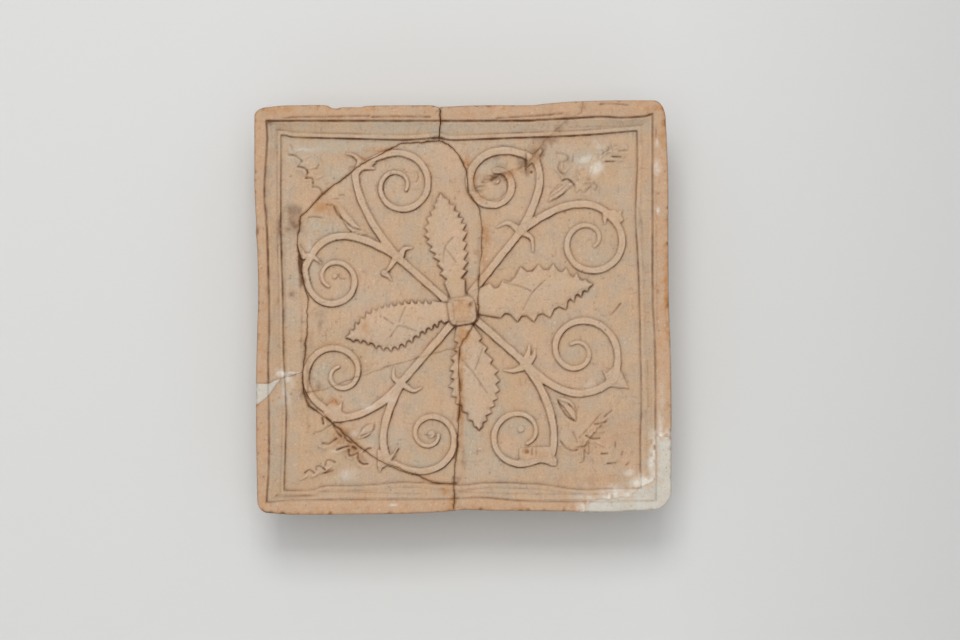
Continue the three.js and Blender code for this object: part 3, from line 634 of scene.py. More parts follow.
# Lines drawn in the wet clay: depth, width, lip raised on the line's left, and how dark the dirt in them is
incised = {
    "veins": (0.45, 0.4, 0.22, 0.65, [
        [(443, 262), (445, 247), (453, 237)], [(445, 249), (450, 254), (456, 262)],
        [(405, 307), (401, 316), (399, 322)], [(384, 318), (393, 324)],
        [(390, 337), (395, 330), (400, 326), (416, 331)], [(504, 282), (522, 287), (531, 291)],
        [(545, 280), (533, 292), (526, 304), (523, 310)], [(462, 360), (474, 374), (487, 393)],
        [(483, 348), (475, 370)],
    ]),
    "beads": (0.28, 0.5, 0.0, 0.35, [
        [(570, 127), (592, 126.3), (615, 126)], [(420, 124), (432, 123.5)], [(484, 179), (500, 178)],
        [(656, 190), (656.5, 260), (657, 330)], [(639, 207), (642, 222), (643, 240)],
        [(648, 361), (648.5, 407)], [(647, 430), (647, 468)], [(299, 491.8), (360, 492.5), (421, 494)],
        [(458, 492), (520, 494), (580, 494.5)], [(276.5, 140), (277, 200), (276.5, 240)],
    ]),
    "rim": (0.4, 0.4, 0.2, 1.0, [
        [(284, 118), (300, 117), (330, 116.6), (369, 115.8)], [(372, 117), (395, 116.4), (430, 117)],
        [(497, 118.2), (520, 116.8), (540, 115.6), (562, 113.4)], [(600, 104), (612, 103.6), (628, 105)],
    ]),
    "eyes": (0.3, 0.5, 0.0, 0.9, [
        [(501, 175.5), (506, 180.5), (507.5, 187), (506, 194), (501, 199.5), (494, 201), (487, 199.5)],
        [(338.5, 274), (339.5, 278), (344, 278.5)], [(425, 435), (430, 436)],
        [(416.5, 171), (418, 176), (416, 181)],
    ]),
    "scallops": (1.1, 0.5, 0.7, 1.3, [
        [(336.3, 438.8), (331, 442.5), (327.9, 444.4), (322.1, 443.7)],
        [(348.2, 446.5), (343.4, 447.6), (336.3, 450.4)], [(356.3, 454), (349.2, 456), (348.4, 450.2)],
        [(367.3, 464.6), (362.1, 464.4), (358.2, 460.5), (357.6, 453.4)],
        [(364, 452), (367, 449.5), (369.8, 448.9)], [(333, 426), (337, 433), (341, 437)],
        [(321.5, 418), (322.5, 424)], [(344, 437), (347, 441), (351, 443)], [(352, 447), (356, 449.5)],
    ]),
    "cornerEdges": (0.75, 0.45, 0.45, 1.0, [
        [(301, 160.8), (298.9, 158.3), (294.5, 155), (288, 154)],
        [(307, 172.4), (306.1, 169.9), (303.2, 167.3), (297, 166)],
        [(312.2, 182.5), (312.2, 180.1), (310.8, 177.6), (305, 177.6)],
        [(321.1, 192.4), (319.9, 188.8), (316.3, 186.6), (311.9, 186.3)],
        [(333.5, 206), (337, 214), (343, 219.5), (352, 227), (360, 229.5)],
        [(574.6, 186), (574.3, 183.7), (570.7, 180.1), (567.1, 178.3), (563, 180.1)],
        [(606.3, 160.9), (615, 160.9)], [(612.8, 156.1), (621.5, 156.4)],
        [(374, 424.4), (372.4, 430.8), (360.2, 436.6)], [(313.7, 473.4), (308.5, 470.5), (304, 473.4)],
        [(324.7, 470.2), (319.5, 466.7), (315.6, 467.6), (315.6, 470.2)],
        [(334.4, 462.7), (329.2, 460.5), (326, 461.1), (324.7, 465.6)], [(606.2, 422.4), (595.2, 424.5)],
        [(612.4, 410.8), (604.8, 416.9)], [(600, 438.9), (591.8, 439.1), (586.3, 436.1)],
        [(577.4, 450.5), (572.6, 451.2), (566.5, 448.5), (561, 441.6)], [(602, 454.4), (608, 454)],
        [(391.8, 460.2), (398.2, 449.4)], [(608.3, 464.2), (615.8, 463.5)],
        [(621, 303.5), (616, 310), (611, 315)], [(526, 152), (526, 169)],
        [(569, 404.6), (575.4, 411.5), (576.7, 420.4)],
        [(576, 421.7), (567.8, 416.9), (561, 407.3), (558.2, 400.5)],
    ]),
    "cornerTraces": (0.4, 0.45, 0.25, 0.65, [
        [(301, 160.8), (297.1, 165.9)], [(306.9, 172.4), (305.8, 177.2)], [(312.2, 182.5), (311.9, 186)],
        [(289.9, 144.5), (292.3, 149.6)], [(318, 164), (316, 168)], [(333.7, 198.2), (337.3, 198.2)],
        [(338.8, 194.6), (343.4, 194.3)], [(325.7, 204.3), (330.8, 204.8)],
        [(308.3, 217), (314, 216.4), (321.4, 217.5)],
        [(556.2, 152.5), (564.2, 153.2), (568.2, 156.1), (567.1, 159.8), (561.3, 161.2)],
        [(573.3, 153.2), (573.3, 161.2)], [(559.8, 161.2), (558.4, 167), (561.3, 172.1), (564.2, 173.5)],
        [(551.1, 192.4), (562.7, 184.4)], [(551.8, 196), (561.3, 189.5), (567.1, 184.4)],
        [(552.5, 199.7), (562.7, 193.9), (569.2, 186.6)],
        [(575.8, 186), (575.6, 191.7), (577.5, 191.7), (580.9, 189.5), (583, 191.7), (585.9, 191.7),
         (588.1, 188.8), (591, 185.9)],
        [(594.6, 182.3), (597.5, 185.9), (595.4, 189.5)], [(619.3, 150.3), (627.3, 149.6)],
        [(604, 152), (608, 149.5), (609, 146)], [(613, 150), (611, 143.5)], [(577, 170), (580, 174)],
        [(592, 158), (590, 163)], [(315, 432.4), (320.8, 431.5), (331.8, 424.4)],
        [(557.9, 399.8), (569.2, 404.6)], [(585, 450.5), (584.3, 460.8), (580.8, 463.5)],
        [(589, 443), (589.5, 453.7), (587, 453.3), (585, 450.5)],
        [(573.3, 432.7), (574.7, 436.1), (577.4, 442.3)], [(580.2, 437.5), (593.9, 422.4), (600.7, 414.2)],
        [(615.8, 442.3), (615.8, 447.8)], [(622, 455.5), (623, 452.5)], [(626.8, 465.6), (630.2, 462.9)],
        [(597, 428), (597.5, 431.5)], [(532.1, 448.5), (532.1, 455)], [(536.5, 448.5), (536.5, 456)],
        [(320, 475), (333, 471)],
    ]),
    "sprigs": (-1.15, 0.75, 0.0, 0.0, [
        [(600, 157), (609, 151), (620, 145)], [(606, 152), (603, 147)], [(613, 148.5), (611, 144)],
        [(610, 151), (618, 151.5)], [(565, 172), (569, 166)], [(556, 168), (560, 173), (563, 178)],
        [(580, 178), (578, 171), (582, 167)], [(590, 173), (592, 166)], [(584, 182), (592, 181)],
        [(562, 163), (563, 170)], [(296, 150), (303, 148)], [(302, 158), (309, 155)],
        [(309, 168), (316, 166)], [(316, 178), (322, 175)], [(318, 447), (324, 449)],
        [(583, 446), (594, 432), (606, 419)], [(594, 432), (602, 432)], [(590, 436), (588, 428)],
        [(600, 425), (600, 417)], [(585, 445), (577, 446)], [(584, 446), (583, 458)],
        [(604, 446), (598, 443)], [(300, 480), (306, 477)], [(312, 477), (318, 473)],
        [(324, 472), (330, 467)],
    ]),
}


strokeShape = {"mean": 0.85, "change": 0.3, "size": 3.0, "dirtWidth": 0.45, "lipOut": 1.3, "lipWidth": 1.1}


def drawLines(depth, width, lip, dirt, lines):
    # Each line cuts a narrow valley, or with a depth below 0 raises a ridge, and may push up a lip beside it
    shape = strokeShape
    for line in lines:
        area, away, _, side = nearPath(flowing(onFace(line)), 4)
        soft = shape["mean"] + shape["change"] * unevenness(gridX[area], gridY[area], shape["size"], 5)
        relief[area] -= depth * soft * bump(away / width)
        drawn[area] = np.maximum(drawn[area], dirt * soft * bump(away / shape["dirtWidth"]))
        relief[area] += lip * soft * bump((away - shape["lipOut"]) / shape["lipWidth"]) * (side > 0)


for group in incised.values():
    drawLines(*group)
print("lines drawn,", sum(len(group[-1]) for group in incised.values()))

# Cracks: each route runs between named meetings, in hundredths of the half width and height
beyond = 112
cracks = {
    "top": [(-11.5, beyond), (-11, 93.5), (-12, 82.5)],
    "arc": [(-12, 82.5), (-30.5, 81), (-49.5, 71), (-68.5, 56), (-79, 45), (-80.5, 33.5), (-78.5, 18),
            (-75.5, 4.5), (-76, -12.5), (-78, -31)],
    "gapInner": [(-78, -31), (-88.5, -34)], "gapTop": [(-88.5, -34), (-94, -36.5), (-beyond, -36.5)],
    "gapBottom": [(-88.5, -34), (-94, -42.5), (-99.5, -46.5), (-beyond, -46.5)],
    "leftShort": [(-78, -31), (-77.5, -41)],
    "lowerArc": [(-77.5, -41), (-75, -47.5), (-63.5, -56), (-54.5, -64), (-47.5, -69.6), (-41, -74.5),
                 (-23, -81), (-14.5, -85.5), (-4.5, -85.5)],
    "bottom": [(-4.5, -85.5), (-4, -beyond)],
    "centreUpper": [(-12, 82.5), (-7.5, 81), (-1.5, 75), (2, 67), (2.5, 57.5)],
    "centreMiddle": [(2.5, 57.5), (7.5, 49.5), (9, 41), (9, 29), (7.5, 12.5), (7.5, -4.5), (3.5, -10.5),
                     (-1.5, -18.5)],
    "centreLower": [(-1.5, -18.5), (-2, -30), (-1.5, -44.5), (-3, -65.5), (-4, -78.5), (-4.5, -85.5)],
    "thin": [(-77.5, -41), (-69, -40), (-56, -35), (-34, -27.5), (-21, -23.5), (-1.5, -18.5)],
    "upperRight": [(2.5, 57.5), (10, 61), (18, 66), (31, 70.5), (39.5, 82.5), (51, 93), (57.5, 96),
                   (58.5, beyond)],
    "cornerFill": [(58.5, -beyond), (58.5, -95.5), (66, -93), (81.5, -92), (86.5, -87), (93, -83.5),
                   (93.5, -62), (beyond, -64.5)],
}
crackShape = {
    "step": 1.1,
    "ragged": 0.42,
    "waves": ((3.4, 1.0), (1.3, 0.6)),  # sizes of its wandering, and their shares
    "apart": 30,  # each of them is taken from its own row of random values
    "ends": 3,  # the last stretch towards a meeting wanders less
    "wearSize": 5.5,
    "worn": (0.45, 0.55),  # width of the rubbed edge, least and more
    "dirty": (0.35, 0.4),
    "dirt": 0.3,
    "dirtShares": (0.45, 0.8),
    "fullWear": (0.3, 1.2),  # a gap this wide is worn in full, and a wider one up to this share
    "depth": 0.5,
    "depthLeast": 0.2,
    "thinner": (0.6, -58, 14),  # the lower arc's dirt thins out by this share, from here on to the right
}
crackGaps = {"top": 0.5, "arc": 0.26, "gapInner": 0.1, "gapTop": 0.08, "gapBottom": 0.08, "leftShort": 0.3,
             "lowerArc": 0.22, "bottom": 0.22, "centreUpper": 0.28, "centreMiddle": 0.18,
             "centreLower": 0.24, "thin": 0.08, "upperRight": 0.05, "cornerFill": 0.06}


def raggedCrack(name, seed):
    # The route in short steps, each pushed aside at random, least at the meetings
    path = evenly(onShares(cracks[name]), crackShape["step"])
    along = np.gradient(path, axis=0)
    normal = np.stack([-along[:, 1], along[:, 0]], 1) / np.hypot(*along.T)[:, None]
    way = np.arange(len(path)) * crackShape["step"]
    push = sum(share * unevenness(way, way * 0 + crackShape["apart"] * row, size, seed)
               for row, (size, share) in enumerate(crackShape["waves"]))
    ends = np.clip(np.minimum(way, way[::-1]) / crackShape["ends"], 0, 1)
    return path + normal * (push * ends * crackShape["ragged"])[:, None]


crackPaths = {name: raggedCrack(name, 200 + i) for i, name in enumerate(cracks)}
crackDirt = {"top": 0.7, "arc": 0.9, "centreUpper": 1.3, "centreMiddle": 0.75, "leftShort": 1.3,
             "lowerArc": 1.1, "upperRight": 0.4, "bottom": 0.5, "centreLower": 0.7}
wear = 0.5 + 0.5 * unevenness(gridX, gridY, crackShape["wearSize"], 31)
crackWear = np.zeros(gridX.shape)
wornLeast, wornMore = crackShape["worn"]
dirtyLeast, dirtyMore = crackShape["dirty"]
dirtLeast, dirtMore = crackShape["dirtShares"]
fullGap, mostWorn = crackShape["fullWear"]
thinner, thinFrom, thinRun = crackShape["thinner"]
for name, path in crackPaths.items():
    away = distanceTo([path])
    dirt = crackDirt.get(name, crackShape["dirt"])
    if name == "lowerArc":
        dirt = dirt * (1 - thinner * smoothStep((gridX - thinFrom) / thinRun))
    worn = bump(away / (wornLeast + wornMore * wear)) * min(crackGaps[name] / fullGap, mostWorn)
    crackWear = np.maximum(crackWear, worn)
    held = dirt * (dirtLeast + dirtMore * wear)
    drawn = np.maximum(drawn, held * bump(away / (dirtyLeast + dirtyMore * wear)))
relief -= crackShape["depth"] * (crackShape["depthLeast"] + wear) * crackWear

# Flakes lost beside the cracks: place, size along and across, depth
flakes = [
    ((438, 139), 3.4, 2.2, 1.5), ((439, 113), 2.2, 1.8, 1.0), ((467, 160), 3.2, 4.2, 0.8),
    ((479, 189), 3.6, 2.0, 1.3), ((490, 178), 5.5, 2.2, 1.2), ((527, 166), 3.2, 4.8, 1.2),
    ((352, 168), 2.4, 1.8, 0.9), ((301, 300), 1.6, 5.5, 0.5), ((300.3, 268), 1.2, 9, 0.8),
    ((531.6, 171.5), 0.8, 0.8, 1.2), ((303, 396), 2.4, 3.6, 0.7), ((299, 262), 1.6, 4.0, 1.0),
    ((334, 425), 5.0, 2.2, 0.8), ((457, 338), 2.2, 2.2, 0.8), ((461, 400), 1.6, 22.0, 0.7),
    ((483, 245), 2.0, 14.0, 0.45), ((455, 482), 2.0, 3.0, 1.2), ((457, 505), 2.0, 3.0, 1.2),
    ((583, 108), 2.0, 3.4, 0.8), ((546, 146), 3.0, 5.0, 0.5), ((471, 305), 1.3, 2.0, 1.1),
    ((256, 232), 1.8, 2.0, 1.0), ((526, 452), 2.2, 1.4, 1.2), ((658, 292), 0.8, 1.2, 0.9),
    ((279, 228), 0.9, 3.0, 0.5),
]
flakeShape = {"rough": 0.35, "size": 1.6, "floor": 0.35}
for place, halfAlong, halfUp, depth in flakes:
    area, away = nearSpot(onFace(place), (halfAlong, halfUp), 3 * max(halfAlong, halfUp))
    rough = 1 + flakeShape["rough"] * unevenness(gridX[area], gridY[area], flakeShape["size"], 44)
    relief[area] -= depth * rough * (1 - smoothStep(away * rough - flakeShape["floor"]))

# Fine scratches, mostly across and upright, where the surface was wiped
scratches = {"count": 560, "within": 100, "slant": 0.25, "shortest": 1.5, "longest": 7.0, "width": 0.35,
             "depth": 0.08, "dirt": 0.34, "dirtWidth": 0.4, "reach": 1.2, "seed": 7}
chance = np.random.default_rng(scratches["seed"])
for _ in range(scratches["count"]):
    start = chance.uniform(-scratches["within"], scratches["within"], 2)
    turn = chance.normal(0, scratches["slant"]) + chance.choice([0, math.pi / 2])
    reach = chance.uniform(scratches["shortest"], scratches["longest"])
    end = start + reach * np.array([math.cos(turn), math.sin(turn)])
    area, away, share, _ = nearPath(evenly([start, end], 0.5), scratches["reach"])
    fade = np.sin(math.pi * share)
    relief[area] -= scratches["depth"] * fade * bump(away / scratches["width"])
    drawn[area] = np.maximum(drawn[area], scratches["dirt"] * fade * bump(away / scratches["dirtWidth"]))

# Small pits in the clay
pits = {"count": 300, "within": 109, "least": 0.3, "most": 0.7, "smaller": 0.5, "depth": 0.3, "dirt": 0.7,
        "reach": 2, "seed": 8}
chance = np.random.default_rng(pits["seed"])
for _ in range(pits["count"]):
    middle = chance.uniform(-pits["within"], pits["within"], 2)
    half = chance.uniform(pits["least"], pits["most"]) * chance.uniform(pits["smaller"], 1)
    area, away = nearSpot(middle, (half, half), pits["reach"])
    within = bump(away)
    relief[area] -= pits["depth"] * within
    drawn[area] = np.maximum(drawn[area], pits["dirt"] * within)

# The hand-pressed surface is never quite flat: amount, size, and whether it runs upright or slanting
pressed = [(0.22, 24, "field"), (0.13, 8, "upright"), (0.08, 2.6, "slanting"), (0.05, 1.3, "slanting")]
slantCos, slantSin = 0.8, 0.6
slantX, slantY = slantCos * gridX + slantSin * gridY, slantCos * gridY - slantSin * gridX
for seed, (amount, size, run) in enumerate(pressed, 1):
    waves = unevenness(*((slantX, slantY) if run == "slanting" else (gridX, gridY)), size, seed)
    relief += amount * waves * (onField if run == "field" else 1)

# The outer arris is crumbled
crumbling = {"sizes": (2.1, 6.3), "spared": 0.25, "reach": 1.5, "depth": 1.5}
fine, broad = (unevenness(gridX, gridY, size, seed) for seed, size in enumerate(crumbling["sizes"], 51))
crumbled = np.clip(fine + 0.5 * broad - crumbling["spared"], 0, 1)
crumbled = crumbled * bump(np.clip(fromEdge, 0, None) / crumbling["reach"])
relief -= crumbling["depth"] * crumbled
relief = np.minimum(relief, boss["height"])
print("surface worked out, heights", round(float(relief.min()), 2), "to", round(float(relief.max()), 2))


def inScene(name, data):
    made = bpy.data.objects.new(name, data)
    bpy.context.scene.collection.objects.link(made)
    return made


def meshFrom(name, points, faces):
    mesh = bpy.data.meshes.new(name)
    mesh.from_pydata([], [], [])
    mesh.vertices.add(len(points))
    mesh.vertices.foreach_set("co", np.asarray(points, np.float32).ravel())
    flat = np.concatenate([np.ravel(face) for face in faces])
    totals = np.concatenate([np.full(len(face), face.shape[1]) for face in faces])
    mesh.loops.add(len(flat))
    mesh.loops.foreach_set("vertex_index", flat.astype(np.int32))
    mesh.polygons.add(len(totals))
    mesh.polygons.foreach_set("loop_start", np.concatenate([[0], np.cumsum(totals)[:-1]]).astype(np.int32))
    mesh.update(calc_edges=True)
    mesh.validate()
    return inScene(name, mesh)


def gridFaces(rows, columns, first=0):
    # Quads between the points of a grid stored row by row, facing up when rows go up and columns right
    index = first + np.arange(rows * columns).reshape(rows, columns)
    return np.stack([index[:-1, :-1], index[:-1, 1:], index[1:, 1:], index[1:, :-1]], -1).reshape(-1, 4)


backShape = {"uneven": 0.175, "size": 17, "every": 6}  # cells of the face to one of the back


def makeBlank():
    # The worked surface on a slab: a fine grid above, a coarse one below, and walls between their edges
    fine = len(gridLine)
    above = inWorld(gridX, gridY, relief).reshape(-1, 3)
    back = -tile["plate"] + backShape["uneven"] * (unevenness(gridX, gridY, backShape["size"], 61) - 1)
    picked = np.unique(np.append(np.arange(0, fine, backShape["every"]), fine - 1))
    below = inWorld(gridX, gridY, back)[np.ix_(picked, picked)].reshape(-1, 3)
    coarse = len(picked)
    topIndex = np.arange(fine * fine).reshape(fine, fine)
    lowIndex = fine * fine + np.arange(coarse * coarse).reshape(coarse, coarse)
    borders = [(np.rot90(lowIndex, k)[0], np.rot90(topIndex, k)[0]) for k in range(4)]
    walls = [np.concatenate([low, top[::-1]])[None] for low, top in borders]
    faces = [gridFaces(fine, fine), gridFaces(coarse, coarse, fine * fine)[:, ::-1], *walls]
    return meshFrom("blank", np.vstack([above, below]), faces)


def ringFaces(rings):
    # Point numbers of stacked rings, and the quads between each ring and the next, closed round
    index = np.arange(rings[..., 0].size).reshape(rings.shape[:2])
    beside = np.roll(index, -1, 1)
    return index, np.stack([index, beside, np.roll(beside, -1, 0), np.roll(index, -1, 0)], -1)


def lattice(rings, name):
    # A closed skin: rings of equal count, capped at both ends
    index, sides = ringFaces(rings)
    ends = [index[0][::-1][None], index[-1][None]]
    return meshFrom(name, rings.reshape(-1, 3), [sides[:-1].reshape(-1, 4), *ends])


def outlineRing():
    # The tile's outer edge, anticlockwise from the lower left, with its corners rounded
    radii = frameShape["cornerRadii"]
    middle = {side: float(across(side, "edge", 0)) for side in frameLines}
    ends = {
        "bottom": (middle["left"] + radii["left", "bottom"], middle["right"] - radii["right", "bottom"]),
        "right": (middle["bottom"] + radii["right", "bottom"], middle["top"] - radii["right", "top"]),
        "top": (middle["right"] - radii["right", "top"], middle["left"] + radii["left", "top"]),
        "left": (middle["top"] - radii["left", "top"], middle["bottom"] + radii["left", "bottom"]),
    }
    runs = []
    for side, (start, end) in ends.items():
        along = np.linspace(start, end, 190)
        run = np.stack([along, across(side, "edge", along)], 1)
        runs.append(run if side in ("bottom", "top") else run[:, ::-1])
    turn = np.linspace(0, math.pi / 2, 12)[1:-1, None]
    turned = []
    for side, run, following in zip(ends, runs, runs[1:] + runs[:1]):
        last, first = run[-1], following[0]
        elbow = (last[0], first[1]) if side in ("right", "left") else (first[0], last[1])
        centre = last + first - elbow
        turned += [run, centre + (last - centre) * np.cos(turn) + (first - centre) * np.sin(turn)]
    return np.vstack(turned)


edgeShape = {
    # Heights of its rings, closer together where the plate's edge shows
    "levels": (12, 5, 3.6, 2.2, 0.8, -0.8, -2.4, -4, -5.6, -7.2, -8.6, -9.5, -10.4, -14),
    "least": 0.03,
    "raggedFrom": (5, 15),  # height at which it starts to be ragged, and the run to its full measure
    "rough": 0.35,
    "slow": 0.6,
    "sizes": (2.4, 9.0),
    "backArris": 0.9,
    "backFrom": (8.6, 1.8),
}


def makeOutline():
    # The edge all the way down: ragged by a little more towards the back, and drawn in at the back's arris
    ring = outlineRing()
    along = np.roll(ring, -1, 0) - np.roll(ring, 1, 0)
    inward = np.stack([-along[:, 1], along[:, 0]], 1) / np.hypot(*along.T)[:, None]
    way = np.concatenate([[0], np.cumsum(np.hypot(*np.diff(ring, axis=0).T))])
    levels = np.array(edgeShape["levels"], float)[:, None]
    start, run = edgeShape["raggedFrom"]
    depth = np.clip((start - levels) / run, 0, 1)
    roughSize, slowSize = edgeShape["sizes"]
    rough = 0.5 + 0.5 * unevenness(way[None], levels * 1.2, roughSize, 71)
    slow = 0.5 + 0.5 * unevenness(way[None], levels, slowSize, 72)
    push = edgeShape["least"] + depth * (edgeShape["rough"] * rough + edgeShape["slow"] * slow)
    start, run = edgeShape["backFrom"]
    push = push + edgeShape["backArris"] * np.clip((-start - levels) / run, 0, 1)
    rings = ring[None] + inward[None] * push[..., None]
    heights = np.broadcast_to(levels, push.shape)
    return lattice(inWorld(rings[..., 0], rings[..., 1], heights)[::-1], "outline")


collarShape = {
    "step": 2.6,
    "rimRound": 0.8,
    "perSide": 74,
    "perCorner": 8,
    "outside": (0.7, 0.2),  # how far its outer face is shoved in by the slow and the rough unevenness
    "inside": (0.9, 0.3),
    "sizes": (21, 4.5),
    "free": ((2, 6), (0.2, 3)),  # it starts this far from the plate and from the rear rim, over this run
}
collarThin = tile["collarWall"] - tile["collarDraft"]  # its wall at the rear rim
collarFront = -tile["plate"] / 2  # it starts inside the plate


def collarProfile():
    # Inset and height along its outer wall, rear rim, inner face and cove
    wall, thin, front = tile["collarWall"], collarThin, collarFront
    plate, cove = -tile["plate"], tile["cove"]
    edge, step = collarShape["rimRound"], collarShape["step"]
    turn = np.linspace(0, math.pi / 2, 7)
    coveInset = wall + cove * (1 - np.cos(turn))
    coveHeight = plate - cove + cove * np.sin(turn)
    return np.vstack([
        evenly([(0, front), (0, rearRim + edge)], step),
        [(0.25, rearRim + 0.25), (edge, rearRim), (thin - edge, rearRim), (thin - 0.2, rearRim + 0.3)],
        evenly([(thin, rearRim + 1), (wall, plate - cove - 1)], step),
        np.stack([coveInset, coveHeight], 1),
        [(wall + cove, front)],
    ])


def carriedRound(inset):
    # Every point of the profile carried round a rounded rectangle
    halfX, halfY = tile["width"] / 2 - tile["collarInset"], tile["height"] / 2 - tile["collarInset"]
    straight = np.linspace(-1, 1, collarShape["perSide"])
    arc = np.linspace(0, 1, collarShape["perCorner"])[1:-1]
    radius = np.maximum(tile["collarCorner"] - inset / 2, 1)
    reachX, reachY = halfX - inset, halfY - inset
    points = []
    angle = (arc[None] - 1) * math.pi / 2
    for quarter in range(4):
        cos, sin = round(math.cos(quarter * math.pi / 2)), round(math.sin(quarter * math.pi / 2))
        ahead, aside = (reachX, reachY) if quarter % 2 == 0 else (reachY, reachX)
        side = straight[None] * (ahead - radius)
        corner = ahead - radius + radius * np.cos(angle), aside - radius - radius * np.sin(angle)
        for along, out in ((side, np.broadcast_to(aside, side.shape)), corner):
            points.append(np.stack([along * cos + out * sin, along * sin - out * cos], -1))
    return np.concatenate(points, 1)


def makeCollar():
    # The profile carried round, its faces as uneven as a hand leaves them
    profile = collarProfile()
    inset, height = profile[:, 0][:, None], profile[:, 1][:, None]
    points = carriedRound(inset)
    way = np.concatenate([[0], np.cumsum(np.hypot(*np.diff(points[0], axis=0).T))])[None]
    rows = np.cumsum(np.concatenate([[0], np.hypot(*np.diff(profile, axis=0).T)]))[:, None]
    slow, rough = (unevenness(way, rows, size, seed) for seed, size in enumerate(collarShape["sizes"], 81))
    (plateGap, plateRun), (rimGap, rimRun) = collarShape["free"]
    free = np.clip((collarFront - plateGap - height) / plateRun, 0, 1)
    free = free * np.clip((height - rearRim - rimGap) / rimRun, 0, 1)
    (outerSlow, outerRough), (innerSlow, innerRough) = collarShape["outside"], collarShape["inside"]
    outer = (0.5 + 0.5 * slow) * outerSlow + (0.5 + 0.5 * rough) * outerRough
    shove = np.where(inset < collarThin / 2, outer, -(innerSlow * slow + innerRough * rough)) * free
    toMiddle = -points / np.abs(points).max(-1, keepdims=True)
    points = points + toMiddle * shove[..., None]
    rings = inWorld(points[..., 0], points[..., 1], np.broadcast_to(height, points.shape[:2]))
    faces = ringFaces(rings)[1][..., [0, 3, 2, 1]]
    return meshFrom("collar", rings.reshape(-1, 3), [faces.reshape(-1, 4)])


# Cutters for the sherds and fills: the break wanders on its way through the clay
breakDrift = [(14, 0, 0), (-1.0, 0, 0), (-3.2, 1.1, 0.5), (-6.2, -0.7, 1.2), (-9.0, 0.6, -0.4), (-13, 0, 0),
              (-57, 0, 0)]
fillLevels = {"fill": [(14, 0, 0), (-10.35, 0, 0)], "room": [(14, 0, 0), (-10.7, 0, 0)]}


def walk(*steps):
    # A closed outline from crack routes, "-" for one walked backwards, and corners outside the tile
    points, gaps = [], []
    for step in steps:
        if isinstance(step, tuple):
            points.append(onShares([step]))
            gaps.append([0])
            continue
        name = step.lstrip("-")
        path = crackPaths[name][::-1] if step.startswith("-") else crackPaths[name]
        points.append(path[:-1])
        gaps.append(np.full(len(path) - 1, crackGaps[name]))
    points, gaps = np.vstack(points), np.concatenate(gaps)
    before, after = points - np.roll(points, 1, 0), np.roll(points, -1, 0) - points
    if (points[:, 0] * np.roll(points[:, 1], -1) - points[:, 1] * np.roll(points[:, 0], -1)).sum() < 0:
        points, gaps, before, after = points[::-1], gaps[::-1], -after[::-1], -before[::-1]
    before, after = (way / np.hypot(*way.T)[:, None] for way in (before, after))
    inward = np.stack([-before[:, 1] - after[:, 1], before[:, 0] + after[:, 0]], 1)
    lean = np.maximum(1 + (before * after).sum(1), 0.5)
    return points + inward * (gaps / 2 / lean)[:, None]


def makeCutter(name, outline, levels=breakDrift):
    rings = [inWorld(outline[:, 0] + x, outline[:, 1] + y, np.full(len(outline), height))
             for height, x, y in levels]
    return lattice(np.array(rings[::-1]), name + "Cutter")


def combined(base, other, operation, name):
    modifier = base.modifiers.new("combine", "BOOLEAN")
    modifier.operation = operation
    modifier.solver = "MANIFOLD"
    modifier.object = other
    mesh = bpy.data.meshes.new_from_object(base.evaluated_get(bpy.context.evaluated_depsgraph_get()))
    base.modifiers.remove(modifier)
    mesh.name = name
    return inScene(name, mesh)


blank, outline, collar = makeBlank(), makeOutline(), makeCollar()
plate = combined(blank, outline, "INTERSECT", "plate")
whole = combined(plate, collar, "UNION", "wholeTile")
print("whole tile,", len(whole.data.polygons), "faces")

corners = {"lowerLeft": (-beyond, -beyond), "lowerRight": (beyond, -beyond), "upperLeft": (-beyond, beyond),
           "upperRight": (beyond, beyond)}
pieces = {
    "sherd_top_left": walk("-top", corners["upperLeft"], "-gapTop", "-gapInner", "-arc"),
    "sherd_bottom_left": walk("gapInner", "gapBottom", corners["lowerLeft"], "-bottom", "-lowerArc",
                              "-leftShort"),
    "sherd_centre_upper": walk("arc", "leftShort", "thin", "-centreMiddle", "-centreUpper"),
    "sherd_centre_lower": walk("lowerArc", "-centreLower", "-thin"),
    "sherd_top_right": walk("top", "centreUpper", "upperRight", (58.4, beyond)),
    "sherd_right": walk("-upperRight", "centreMiddle", "centreLower", "bottom", corners["lowerRight"],
                        corners["upperRight"]),
    "plaster_left_gap": walk("gapTop", (-beyond, -36.6), "-gapBottom"),
    "plaster_corner": walk("cornerFill", (beyond, -64.6), corners["lowerRight"]),
}

# What the surface wears, and the shade painted on it, worked out on the same grid
def blurred(values, cells):
    # Mean over a square of cells, by running sums along both axes
    for axis in (0, 1):
        pad = [(cells + 1, cells) if k == axis else (0, 0) for k in (0, 1)]
        sums = np.cumsum(np.pad(values, pad, "edge"), axis)
        size = 2 * cells + 1
        values = (np.take(sums, range(size, sums.shape[axis]), axis)
                  - np.take(sums, range(0, sums.shape[axis] - size), axis)) / size
    return values


